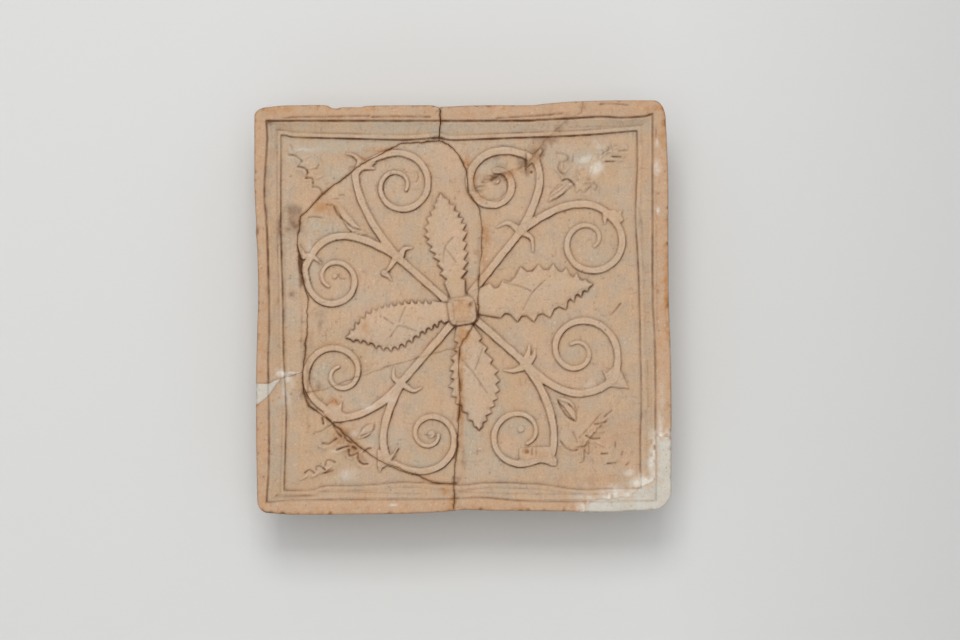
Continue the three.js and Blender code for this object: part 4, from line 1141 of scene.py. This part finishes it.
stains = {
    # dark patches of dirt; some long thin ones, along the frame's lines and beside the cracks, are partly
    # painted shade
    "grimeAndShade": [
        ((268, 121.5), 3, 1.6, 0.9), ((455, 484), 1.6, 1.2, 1.0), ((454, 497), 3, 3, 0.35),
        ((656, 132), 1.4, 9, 0.6), ((267, 230), 1.2, 110, 0.3), ((284, 300), 1.4, 60, 0.25),
        ((559, 129), 5, 4, 0.6), ((551, 139), 5, 5, 0.75), ((544, 147), 4, 5, 0.7), ((538, 154), 3, 4, 0.6),
        ((567, 121), 3, 4, 0.3), ((499, 168), 7, 5, 0.4), ((521, 162), 4, 5, 0.5),
        ((494, 176.5), 6, 2.6, 1.0), ((483, 181.5), 2, 1.5, 1.0), ((478, 190), 5, 1.6, 0.8),
        ((505, 173), 6, 2, 0.6), ((497, 157), 5, 3, 0.4), ((478, 262), 1.4, 20, 0.35),
        ((320, 262), 2, 3, 0.4), ((317, 315), 5, 3, 0.4), ((310, 340), 3, 9, 0.35),
        ((463, 458), 1.5, 12, 0.4), ((300.3, 270), 1.8, 22, 0.85), ((527.5, 167), 2.0, 6, 0.8),
        ((531.6, 171.5), 1.0, 1.0, 1.0), ((588.8, 179.4), 2.5, 2.5, 0.5), ((307, 385), 2, 22, 0.6),
        ((301, 330), 1.5, 30, 0.35), ((344, 434), 6, 5, 0.5), ((354, 449), 5, 4, 0.5),
        ((361, 457), 3, 4, 0.45), ((292, 219), 7, 15, 0.75), ((289, 212), 3, 5, 0.9),
        ((295, 226), 4, 4, 0.9), ((287, 229), 3, 3, 0.7), ((298, 212), 3, 4, 0.6), ((291, 294), 3, 3, 0.7),
        ((279, 228), 1.6, 9, 0.9), ((292, 293), 5, 4, 0.35), ((277, 300), 1.6, 4, 0.5),
        ((257.5, 232), 1.4, 4, 0.9), ((318, 387), 3, 4, 0.5), ((492, 178), 8, 3, 0.55),
        ((500, 168), 4, 6, 0.45), ((545, 140), 6, 4, 0.5), ((535, 152), 4, 8, 0.5), ((488, 160), 6, 2, 0.3),
        ((300, 395), 3, 10, 0.35), ((471, 305), 1.6, 2.2, 0.9), ((319, 325), 2.4, 7, 0.4),
        ((626, 376), 2, 4, 0.3), ((570, 160), 3, 3, 0.25), ((352, 438), 4, 3, 0.3),
        ((527, 452), 2.4, 1.4, 0.7), ((255, 228), 1.0, 4, 0.5),
    ],
    "bare": [
        ((666, 290), 1.9, 40, 0.9), ((664, 130), 3.2, 12, 0.8), ((657, 108), 6, 3, 0.5),
        ((486, 235), 6, 17, 0.75), ((484, 265), 3, 16, 0.6), ((468, 309), 4, 8, 0.8),
        ((463, 336), 4.5, 9, 1.0), ((461, 400), 3.0, 60, 0.8), ((461, 311), 9, 10, 0.75),
        ((456, 350), 3, 8, 0.6), ((364, 327), 3.2, 4, 0.6), ((328, 345), 10, 3, 0.35),
        ((536, 150), 4, 6, 0.5), ((481, 197), 5, 5, 0.7), ((511, 174), 6, 5, 0.7), ((378, 150), 12, 2, 0.7),
        ((362, 158), 8, 2.4, 0.5), ((430, 172), 2, 6, 0.5), ((474, 180), 2.4, 14, 0.7),
        ((350, 155), 14, 3, 0.35), ((322, 207), 11, 5, 0.9), ((335, 403), 4, 2, 0.7),
        ((341, 434), 8, 8, 0.85), ((353, 449), 6, 7, 0.8), ((360, 458), 4, 5, 0.7), ((323, 418), 8, 3, 0.6),
        ((334, 402), 5, 3, 0.8), ((535, 158), 5, 5, 0.8), ((555, 135), 8, 5, 0.35),
        ((600, 420), 7, 9, 0.35), ((525.7, 451.8), 3, 3, 0.9), ((540, 456), 12, 6, 0.45),
        ((329, 473), 6, 2, 0.5), ((467, 163), 3, 6, 0.8), ((541, 454), 10, 3, 0.5), ((446, 489), 6, 5, 0.9),
        ((452, 501), 3, 7, 0.8), ((340, 428), 3, 10, 0.5), ((351, 444), 3, 6, 0.6),
        ((300, 513), 40, 1.5, 0.4), ((480, 508), 20, 2, 0.4), ((573, 507), 3, 3, 0.8),
        ((275, 110), 14, 3, 0.5), ((585, 445), 10, 10, 0.3), ((620, 440), 14, 20, 0.3),
        ((601, 480), 30, 5, 0.3), ((585, 108), 3, 4, 0.6), ((670, 180), 1.5, 60, 0.4),
        ((262, 360), 2, 30, 0.3),
    ],
    "slip": [
        ((340, 145), 44, 10, 0.9), ((400, 142), 40, 6, 0.7), ((500, 145), 20, 5, 0.8),
        ((560, 190), 14, 8, 0.4), ((430, 250), 5, 20, 0.3), ((380, 355), 14, 6, 0.5),
        ((445, 435), 6, 12, 0.5), ((395, 435), 8, 14, 0.5), ((560, 440), 8, 12, 0.4),
        ((620, 350), 12, 20, 0.4), ((350, 480), 30, 6, 0.4), ((625, 200), 8, 30, 0.4),
        ((316, 225), 12, 6, 1.0), ((312, 275), 4, 10, 0.9), ((490, 165), 12, 8, 1.0),
        ((575, 155), 26, 10, 0.7), ((590, 290), 12, 8, 0.8), ((324, 368), 9, 10, 0.9),
        ((410, 370), 26, 10, 0.5), ((470, 440), 10, 30, 0.8), ((420, 465), 18, 6, 0.7),
        ((497, 420), 20, 12, 0.4), ((574, 345), 12, 8, 0.5), ((300, 152), 18, 14, 0.9),
        ((345, 175), 16, 12, 0.6), ((287, 200), 5, 10, 0.7), ((330, 230), 16, 8, 0.7),
        ((395, 168), 8, 10, 0.6), ((610, 150), 14, 8, 0.6), ((352, 395), 12, 14, 0.5),
        ((370, 440), 10, 8, 0.7), ((540, 462), 16, 5, 0.7), ((600, 395), 10, 12, 0.4),
        ((480, 205), 6, 16, 0.5), ((520, 425), 12, 10, 0.5), ((460, 127), 190, 6, 0.65),
        ((600, 250), 20, 30, 0.25), ((380, 178), 10, 16, 0.4), ((408, 150), 30, 8, 0.5),
        ((410, 330), 34, 8, 0.5), ((470, 375), 8, 18, 0.5), ((275, 440), 4, 40, 0.5),
        ((400, 200), 10, 12, 0.5), ((289, 270), 9, 60, 0.5), ((430, 462), 22, 5, 0.7),
        ((318, 372), 8, 8, 0.7), ((350, 300), 30, 8, 0.3), ((560, 240), 12, 12, 0.35),
        ((500, 465), 30, 12, 0.5), ((445, 210), 6, 30, 0.2), ((468, 460), 12, 20, 0.6),
        ((640, 400), 8, 20, 0.4),
    ],
    "chalk": [
        ((657, 142), 1.4, 4, 0.8), ((657, 168), 1.8, 6, 0.7), ((658, 210), 1.6, 3, 0.7),
        ((587, 159), 7, 4, 0.6), ((596, 169), 5, 5, 0.7), ((599, 146), 4, 3, 0.4),
        ((303, 149), 11, 1.8, 0.35), ((288, 158), 3, 2, 0.3), ((629, 474), 5, 3, 0.6),
        ((345, 475), 8, 4, 0.35), ((282, 374), 4, 3, 0.95), ((287, 379), 4, 5, 0.6),
        ((291, 373), 7, 1.2, 0.7), ((284, 389), 2.6, 9, 0.45), ((288, 400), 2, 8, 0.35),
        ((640, 484), 10, 5, 0.6), ((652, 470), 3, 12, 0.8), ((620, 492), 20, 4, 0.55),
        ((600, 497), 26, 2.4, 0.45), ((650, 485), 8, 8, 0.8), ((660, 425), 2.2, 12, 0.5),
        ((662, 395), 2.5, 14, 0.3), ((388, 400), 7, 3, 0.35), ((369, 408), 5, 1.6, 0.5),
        ((393, 505), 3, 1.2, 0.7), ((310, 252), 3, 9, 0.35), ((354, 434), 3, 2, 0.4),
        ((333, 452), 4, 2, 0.4), ((590, 385), 5, 5, 0.25),
    ],
}


ragged = 1 + 0.45 * unevenness(gridX, gridY, 4.0, 91) + 0.3 * unevenness(gridX, gridY, 1.5, 92)


def stained(kind):
    # Soft patches with ragged edges
    total, scale = np.zeros(gridX.shape), reading["mmPerPixel"]
    for place, halfAlong, halfUp, strength in stains[kind]:
        longest = max(halfAlong, halfUp) * scale
        area, away = nearSpot(onFace(place), (halfAlong * scale, halfUp * scale), 2.2 * longest)
        total[area] = np.maximum(total[area], strength * bump(away * ragged[area] / 1.05))
    return total


wearAndShadeShape = {
    "lowBlurs": ((2, 1.0), (5, 0.6)),  # cells of each blur that finds the low places, and its share
    "edgeBlur": 3,
    "steepFrom": (0.85, 1.2),
    "facing": (0.9, 0.35),  # painted shade lies on flanks that face down, and a little to the right, away from the light
    "facingShares": (0.12, 0.88),
    "paler": (0.35, 20, 60),  # the painted shade on flanks is weaker by this share from here on to the right
    "eyes": 0.7,
    "rimFrom": (4.2, 0.8),
    "raisedFrom": (0.6, 1.4),
    "chalkReach": 4,
    "dustReach": 2.2,
    "hollowFrom": (0.9, 0.1),
    "crest": (1.5, 0.15, 0.3),  # how fast it shows above an edge of this height, and its share on the frame
    "arrisReach": 0.9,
    "below": (0.25, 2.0),  # depth under the face at which a break's own colour starts, and its run
    # grimeAndShade: the share of each source of painted shade and of dirt
    "grimeAndShade": {"hollow": 0.3, "flanks": 0.68, "stains": 0.8, "cracks": 0.4, "drawn": 0.75, "crumbled": 0.4,
              "arris": 0.22},
    "bare": {"cracks": 0.75, "crumbled": 0.7, "rim": (0.3, 2.3, 97, 0.35)},
    "slip": {"rim": (0.6, 6.3, 98, 0.2)},
}
# Painted shade, with some dirt, in low places: how far the surface lies below the mean round it
hollow = sum(share * np.clip(blurred(relief, cells) - relief, 0, None)
             for cells, share in wearAndShadeShape["lowBlurs"])
edges = np.clip(relief - blurred(relief, wearAndShadeShape["edgeBlur"]), 0, None)
fillAway = distanceTo([crackPaths["cornerFill"]])
rubbed = 0.7 * unevenness(gridX, gridY, 5, 95) + 0.6 * unevenness(gridX, gridY, 1.6, 96)
# Painted shade on steep flanks, most on those that face down and a little to the right, away from the light
slopeUp, slopeAlong = np.gradient(relief, tile["cell"])
steepness = np.hypot(slopeAlong, slopeUp)
down, aside = wearAndShadeShape["facing"]
facing = (down * slopeUp - aside * slopeAlong) / np.maximum(steepness, 0.01)
least, more = wearAndShadeShape["facingShares"]
steepFrom, steepRun = wearAndShadeShape["steepFrom"]
flanks = smoothStep((steepness - steepFrom) / steepRun) * (least + more * smoothStep(0.45 + 0.9 * facing))
flankShadeFade, shadeFadeFrom, shadeFadeRun = wearAndShadeShape["paler"]
flanks = flanks * (frameWay > 0.35) * (1 - flankShadeFade * smoothStep((gridX - shadeFadeFrom) / shadeFadeRun))
flanks = flanks * (1 + wearAndShadeShape["eyes"] * eyeShade)
insideBead = frameWay > 1.98
rimFrom, rimRun = wearAndShadeShape["rimFrom"]
rimTop = smoothStep((relief - rimFrom) / rimRun) * (frameWay < 1.2)
raisedFrom, raisedRun = wearAndShadeShape["raisedFrom"]


def rimPatches(share, size, seed, spared):
    # Slanting patches on the rim's top
    return share * rimTop * smoothStep(1.6 * unevenness(slantX, slantY, size, seed) - spared)


grimeAndShade, bare = wearAndShadeShape["grimeAndShade"], wearAndShadeShape["bare"]
hollowGain, hollowStart = wearAndShadeShape["hollowFrom"]
crestGain, crestStart, crestOnFrame = wearAndShadeShape["crest"]
nearArris = bump(np.clip(fromEdge, 0, None) / wearAndShadeShape["arrisReach"])
wearAndShade = {
    # grimeAndShade: painted shade in low places and on flanks that face down and right, dirt and painted
    # shade in the frame's and raised forms' lines, dirt in stains, cracks and crumbled edges, and darker near
    # the outer arris
    "grimeAndShade": (grimeAndShade["hollow"] * np.clip(hollowGain * hollow - hollowStart, 0, 1) + grimeAndShade["flanks"] * flanks
              + grimeAndShade["stains"] * stained("grimeAndShade") + grimeAndShade["cracks"] * crackWear + grimeAndShade["drawn"] * drawn
              + grimeAndShade["crumbled"] * crumbled + grimeAndShade["arris"] * nearArris),
    "bare": (bare["cracks"] * crackWear * (0.3 + wear) + stained("bare") + bare["crumbled"] * crumbled
             + rimPatches(*bare["rim"])),
    "crest": np.clip(crestGain * edges - crestStart, 0, 1) * np.where(insideBead, 1, crestOnFrame),
    "slip": stained("slip") + rimPatches(*wearAndShadeShape["slip"]["rim"]),
    "chalk": (stained("chalk") + 0.8 * bump(fillAway / wearAndShadeShape["chalkReach"]) * (fillAway < 7.9)
              * smoothStep(0.6 + rubbed)),
    "dust": bump(fillAway / wearAndShadeShape["dustReach"]) * smoothStep(0.45 + rubbed),
    "raised": smoothStep((relief - raisedFrom) / raisedRun) * insideBead,
    "rim": rimTop,
}
print("wear worked out")


def sampled(values, x, y):
    # A grid's value between its points, blended from the four round it
    u = np.clip((x + tile["blank"]) / tile["cell"], 0, len(gridLine) - 1.001)
    v = np.clip((y + tile["blank"]) / tile["cell"], 0, len(gridLine) - 1.001)
    column, row = u.astype(int), v.astype(int)
    a, b = u - column, v - row
    return ((values[row, column] * (1 - a) + values[row, column + 1] * a) * (1 - b)
            + (values[row + 1, column] * (1 - a) + values[row + 1, column + 1] * a) * b)


def dress(mesh):
    # Each point gets the wear and painted shade of its place on the face, and how deep below the face it lies
    points = np.empty(len(mesh.vertices) * 3, np.float32)
    mesh.vertices.foreach_get("co", points)
    points = points.reshape(-1, 3).astype(float) * 1000
    x, y, height = points[:, 0], points[:, 2] - middleHeight, rearRim - points[:, 1]
    start, run = wearAndShadeShape["below"]
    below = np.clip((sampled(relief, x, y) - height - start) / run, 0, 1)
    worn = {name: np.clip(sampled(values, x, y) * (1 - below), 0, 1) for name, values in wearAndShade.items()}
    for name, values in {**worn, "below": below}.items():
        mesh.attributes.new(name, "FLOAT", "POINT").data.foreach_set("value", values.astype(np.float32))


def linear(code):
    # An sRGB hex colour as the linear one that shaders use
    channels = [int(code[i:i + 2], 16) / 255 for i in (1, 3, 5)]
    return (*[c / 12.92 if c <= 0.04045 else ((c + 0.055) / 1.055) ** 2.4 for c in channels], 1)


def addNode(tree, kind, inputs, **properties):
    # One node with its properties; each input is a value or another node's output
    node = tree.nodes.new(kind)
    for key, value in properties.items():
        setattr(node, key, value)
    for key, value in inputs.items():
        if isinstance(value, bpy.types.NodeSocket):
            tree.links.new(value, node.inputs[key])
        else:
            node.inputs[key].default_value = value
    return node


# Low-fired earthenware pressed in a mould and left unglazed, with a thin wash of pale slip: matt and sandy,
# grey where the slip holds, orange where it is rubbed off, brown with dirt and painted shade in low places
# and on flanks
earthenware = {
    "body": "#B79A7B",
    "noises": {  # size in mm or its three extents, the values that become 0 and 1, detail
        "cloud": (30, 0.38, 0.64, 3),
        "drift": (11, 0.42, 0.62, 5),
        "wiped": ((1.6, 6, 7), 0.48, 0.66, 4),
        "mottle": (5.5, 0.36, 0.68, 3),
        "grain": (0.95, 0.25, 0.75, 3),  # the clay's sand is finer, and drawn this coarse so that it shows
        "speck": (1.9, 0.64, 0.72, 2),
        "fleck": (1.5, 0.66, 0.74, 2),
    },
    "layers": [  # what covers the body, from below: mask, strength, how ragged, colour
        ("cloud", 0.6, 0.3, "#C0A38B"),
        ("drift", 0.68, 0.5, "#AA9D8A"),
        ("mottle", 0.3, 0.2, "#BC9070"),
        ("slip", 0.75, 0.35, "#ABA190"),
        ("wiped", 0.2, 0.5, "#9F8268"),
        ("raised", 0.34, 0.5, "#C5A88D"),
        ("rim", 0.6, 0.4, "#B89374"),
        ("crest", 0.4, 0.3, "#CDB299"),
        ("bare", 0.9, 0.5, "#AC7B4E"),
        ("speck", 0.45, 0.3, "#8A6D54"),
        ("fleck", 0.3, 0.3, "#DBC9B5"),
        # grimeAndShade: brown for dirt and for painted shade
        ("grimeAndShade", 1.0, 0.3, "#6E4D34"),
        ("chalk", 0.9, 0.4, "#D3CCC0"),
        ("below", 0.68, 0.4, "#B38D70"),
    ],
    "grainShade": (0.89, 1.1),
    "bump": {"grain": 0.5, "mottle": 0.3, "wiped": -0.2},
    "bumpDepth": 0.3,
    "bumpStrength": 0.6,
    "roughness": 0.9,
    "specular": 0.2,
}
# Gypsum plaster smoothed by hand: chalky white, a little pitted, with clay dust rubbed into it
smoothedPlaster = {
    "body": "#C2BDB2",
    "noises": {"cloud": (9, 0.4, 0.7, 3), "mottle": (4, 0.4, 0.7, 3), "grain": (1.2, 0.3, 0.7, 4),
               "speck": (1.7, 0.66, 0.74, 1)},
    "layers": [("cloud", 0.5, 0.3, "#B5AC9E"), ("mottle", 0.3, 0.3, "#BDAA93"),
               ("speck", 0.4, 0.2, "#8B7560"),
               # grimeAndShade: dirt and painted shade from the same masks as on the clay
               ("dust", 0.9, 0.3, "#BEA387"), ("grimeAndShade", 0.5, 0.3, "#8B7560")],
    "grainShade": (0.94, 1.05),
    "bump": {"grain": 0.4, "speck": -0.6},
    "bumpDepth": 0.2,
    "bumpStrength": 0.6,
    "roughness": 0.85,
    "specular": 0.2,
}


def bareMaterial(name):
    material = bpy.data.materials.new(name)
    material.use_nodes = True
    material.node_tree.nodes.clear()
    return material, material.node_tree


def makeMaterial(name, recipe):
    # Colours laid over each other by noises on object coordinates and by the wear and painted shade kept in
    # the mesh
    material, tree = bareMaterial(name)
    place = addNode(tree, "ShaderNodeTexCoord", {}).outputs["Object"]
    masks = {}
    for mask, (size, low, high, detail) in recipe["noises"].items():
        perMetre = tuple(1000 / np.broadcast_to(size, 3))
        spread = addNode(tree, "ShaderNodeVectorMath", {0: place, 1: perMetre}, operation="MULTIPLY")
        inputs = {"Vector": spread.outputs[0], "Scale": 1.0, "Detail": detail}
        noise = addNode(tree, "ShaderNodeTexNoise", inputs)
        limits = {"Value": noise.outputs[0], "From Min": low, "From Max": high}
        masks[mask] = addNode(tree, "ShaderNodeMapRange", limits).outputs[0]
    colour = linear(recipe["body"])
    for mask, strength, ragged, code in recipe["layers"]:
        worn = masks.get(mask) or addNode(tree, "ShaderNodeAttribute", {}, attribute_name=mask).outputs["Fac"]
        least, most = strength * (1 - ragged), strength * (1 + ragged)
        limits = {"Value": masks["mottle"], "To Min": least, "To Max": most}
        share = addNode(tree, "ShaderNodeMapRange", limits).outputs[0]
        amount = addNode(tree, "ShaderNodeMath", {0: worn, 1: share}, operation="MULTIPLY", use_clamp=True)
        layers = {0: amount.outputs[0], 6: colour, 7: linear(code)}
        colour = addNode(tree, "ShaderNodeMix", layers, data_type="RGBA").outputs[2]
    low, high = recipe["grainShade"]
    limits = {"Value": masks["grain"], "To Min": low, "To Max": high}
    shade = addNode(tree, "ShaderNodeMapRange", limits).outputs[0]
    colour = addNode(tree, "ShaderNodeVectorMath", {0: colour, "Scale": shade}, operation="SCALE").outputs[0]
    height = 0.0
    for mask, share in recipe["bump"].items():
        terms = {0: masks[mask], 1: share, 2: height}
        height = addNode(tree, "ShaderNodeMath", terms, operation="MULTIPLY_ADD").outputs[0]
    depth = recipe["bumpDepth"] / 1000
    inputs = {"Strength": recipe["bumpStrength"], "Distance": depth, "Height": height}
    relieved = addNode(tree, "ShaderNodeBump", inputs)
    shader = addNode(tree, "ShaderNodeBsdfPrincipled", {"Base Color": colour, "Normal": relieved.outputs[0],
                     "Roughness": recipe["roughness"], "Specular IOR Level": recipe["specular"]})
    addNode(tree, "ShaderNodeOutputMaterial", {"Surface": shader.outputs[0]})
    return material


claySurface = makeMaterial("slippedEarthenware", earthenware)
plasterSurface = makeMaterial("smoothedGypsumPlaster", smoothedPlaster)

# Sherds and fills
sharpAngle = 58  # edges steeper than this, in degrees, stay sharp
for name, route in pieces.items():
    cutter = makeCutter(name, route, fillLevels["fill"] if name == "plaster_corner" else breakDrift)
    piece = combined(whole, cutter, "INTERSECT", name + "Worked")
    if name == "sherd_right":
        uncut, room = piece, makeCutter("cornerRoom", pieces["plaster_corner"], fillLevels["room"])
        piece = combined(uncut, room, "DIFFERENCE", name + "Worked")
        bpy.data.objects.remove(uncut)
        bpy.data.objects.remove(room)
    dress(piece.data)
    plaster = name.startswith("plaster")
    piece.data.materials.clear()
    piece.data.materials.append(plasterSurface if plaster else claySurface)
    piece.data.polygons.foreach_set("material_index", np.zeros(len(piece.data.polygons), np.int32))
    piece.data.shade_smooth()
    piece.data.set_sharp_from_angle(angle=math.radians(sharpAngle))
    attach(piece, "root")
    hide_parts(name)
    bpy.data.objects.remove(cutter)
    triangles = sum(len(face.vertices) - 2 for face in piece.data.polygons)
    print(name, "worked,", triangles, "triangles")
for scrap in (blank, outline, collar, plate, whole):
    bpy.data.objects.remove(scrap)

# Stage: a pale wall behind the tile, open behind its collar, that turns into a floor far below
stage = {
    "paint": "#CFCFCD",
    "shadedPaint": "#C4C4C2",
    "shadedPaintFrom": (0.11, 0.27),  # painted shade: the paint turns darker to the right, where the light falls off
    "half": 2.2,
    "floor": -0.9,
    "top": 2.2,
    "depth": 2.6,
    "hole": 0.0995,
    "back": -0.001,
    "bend": 0.35,
    "roughness": 0.95,
    "specular": 0.1,
}


def makeWall():
    # A profile of wall, bend and floor carried across, with a square left out that the collar's walls cover
    turn = np.linspace(0, math.pi / 2, 13)[1:]
    middle, bend, back = middleHeight / 1000, stage["bend"], stage["back"]
    profile = np.vstack([
        [(back, stage["top"]), (back, middle + stage["hole"]), (back, middle - stage["hole"]),
         (back, stage["floor"] + bend)],
        np.stack([back - bend * (1 - np.cos(turn)), stage["floor"] + bend * (1 - np.sin(turn))], 1),
        [(-stage["depth"], stage["floor"])],
    ])
    columns = np.array([-stage["half"], -stage["hole"], stage["hole"], stage["half"]])
    points = np.empty((len(profile), 4, 3))
    points[..., 0], points[..., 1], points[..., 2] = columns, profile[:, :1], profile[:, 1:]
    faces = np.delete(gridFaces(len(profile), 4)[:, ::-1], 4, 0)
    wall = meshFrom("paleWall", points.reshape(-1, 3), [faces])
    material, tree = bareMaterial("paintedWall")
    # Painted shade: the paint darkens to the right, where the lamps' light falls off
    place = addNode(tree, "ShaderNodeTexCoord", {}).outputs["Object"]
    along = addNode(tree, "ShaderNodeSeparateXYZ", {0: place}).outputs[0]
    start, end = stage["shadedPaintFrom"]
    limits = {"Value": along, "From Min": start, "From Max": end}
    share = addNode(tree, "ShaderNodeMapRange", limits).outputs[0]
    paints = {0: share, 6: linear(stage["paint"]), 7: linear(stage["shadedPaint"])}
    colour = addNode(tree, "ShaderNodeMix", paints, data_type="RGBA").outputs[2]
    paint = addNode(tree, "ShaderNodeBsdfPrincipled", {"Base Color": colour, "Roughness": stage["roughness"],
                    "Specular IOR Level": stage["specular"]})
    clear = addNode(tree, "ShaderNodeBsdfTransparent", {})
    rear = addNode(tree, "ShaderNodeNewGeometry", {}).outputs["Backfacing"]  # the wall is clear from behind
    both = addNode(tree, "ShaderNodeMixShader", {0: rear, 1: paint.outputs[0], 2: clear.outputs[0]})
    addNode(tree, "ShaderNodeOutputMaterial", {"Surface": both.outputs[0]})
    wall.data.materials.append(material)
    return wall


makeWall()

lamps = {
    "key": {"place": (-0.09, -1.8, 0.95), "size": 0.6, "power": 13.8},
    "front": {"place": (-0.06, -2.1, 0.35), "size": 1.3, "power": 17.0},
    "rear": {"place": (-0.8, 1.2, 0.9), "size": 1.2, "power": 14.0},
}
target = np.array([0, -0.04, middleHeight / 1000])
for name, lamp in lamps.items():
    light = bpy.data.lights.new(name, "AREA")
    light.size = lamp["size"]
    light.energy = lamp["power"]
    made = inScene(name, light)
    made.location = lamp["place"]
    made.rotation_euler = (Vector(target) - Vector(lamp["place"])).to_track_quat("-Z", "Y").to_euler()
surroundings = {"colour": "#E9EBEE", "strength": 0.6}
world = bpy.data.worlds.new("paleRoom")
world.use_nodes = True
world.node_tree.nodes["Background"].inputs[0].default_value = linear(surroundings["colour"])
world.node_tree.nodes["Background"].inputs[1].default_value = surroundings["strength"]
bpy.context.scene.world = world
bpy.context.scene.view_settings.view_transform = "Standard"

# Camera straight in front, level with the reference view
view = {"lens": 100.0, "sensor": 36.0, "pixels": (960, 640), "farthest": 20}
camera = bpy.data.cameras.new("front")
camera.lens = view["lens"]
camera.sensor_width = view["sensor"]
frameWidth = view["pixels"][0] * reading["mmPerPixel"] / 1000
distance = frameWidth * view["lens"] / view["sensor"]
aim = (np.array(view["pixels"]) / 2 - reading["middle"]) * reading["mmPerPixel"] / 1000
camera.clip_end = view["farthest"]
rimFront = (rearRim - frameShape["rimHeight"]) / 1000
cameraObject = inScene("front", camera)
cameraObject.location = (aim[0], rimFront - distance, middleHeight / 1000 - aim[1])
cameraObject.rotation_euler = (math.pi / 2, 0, 0)
bpy.context.scene.camera = cameraObject

print("dressed")
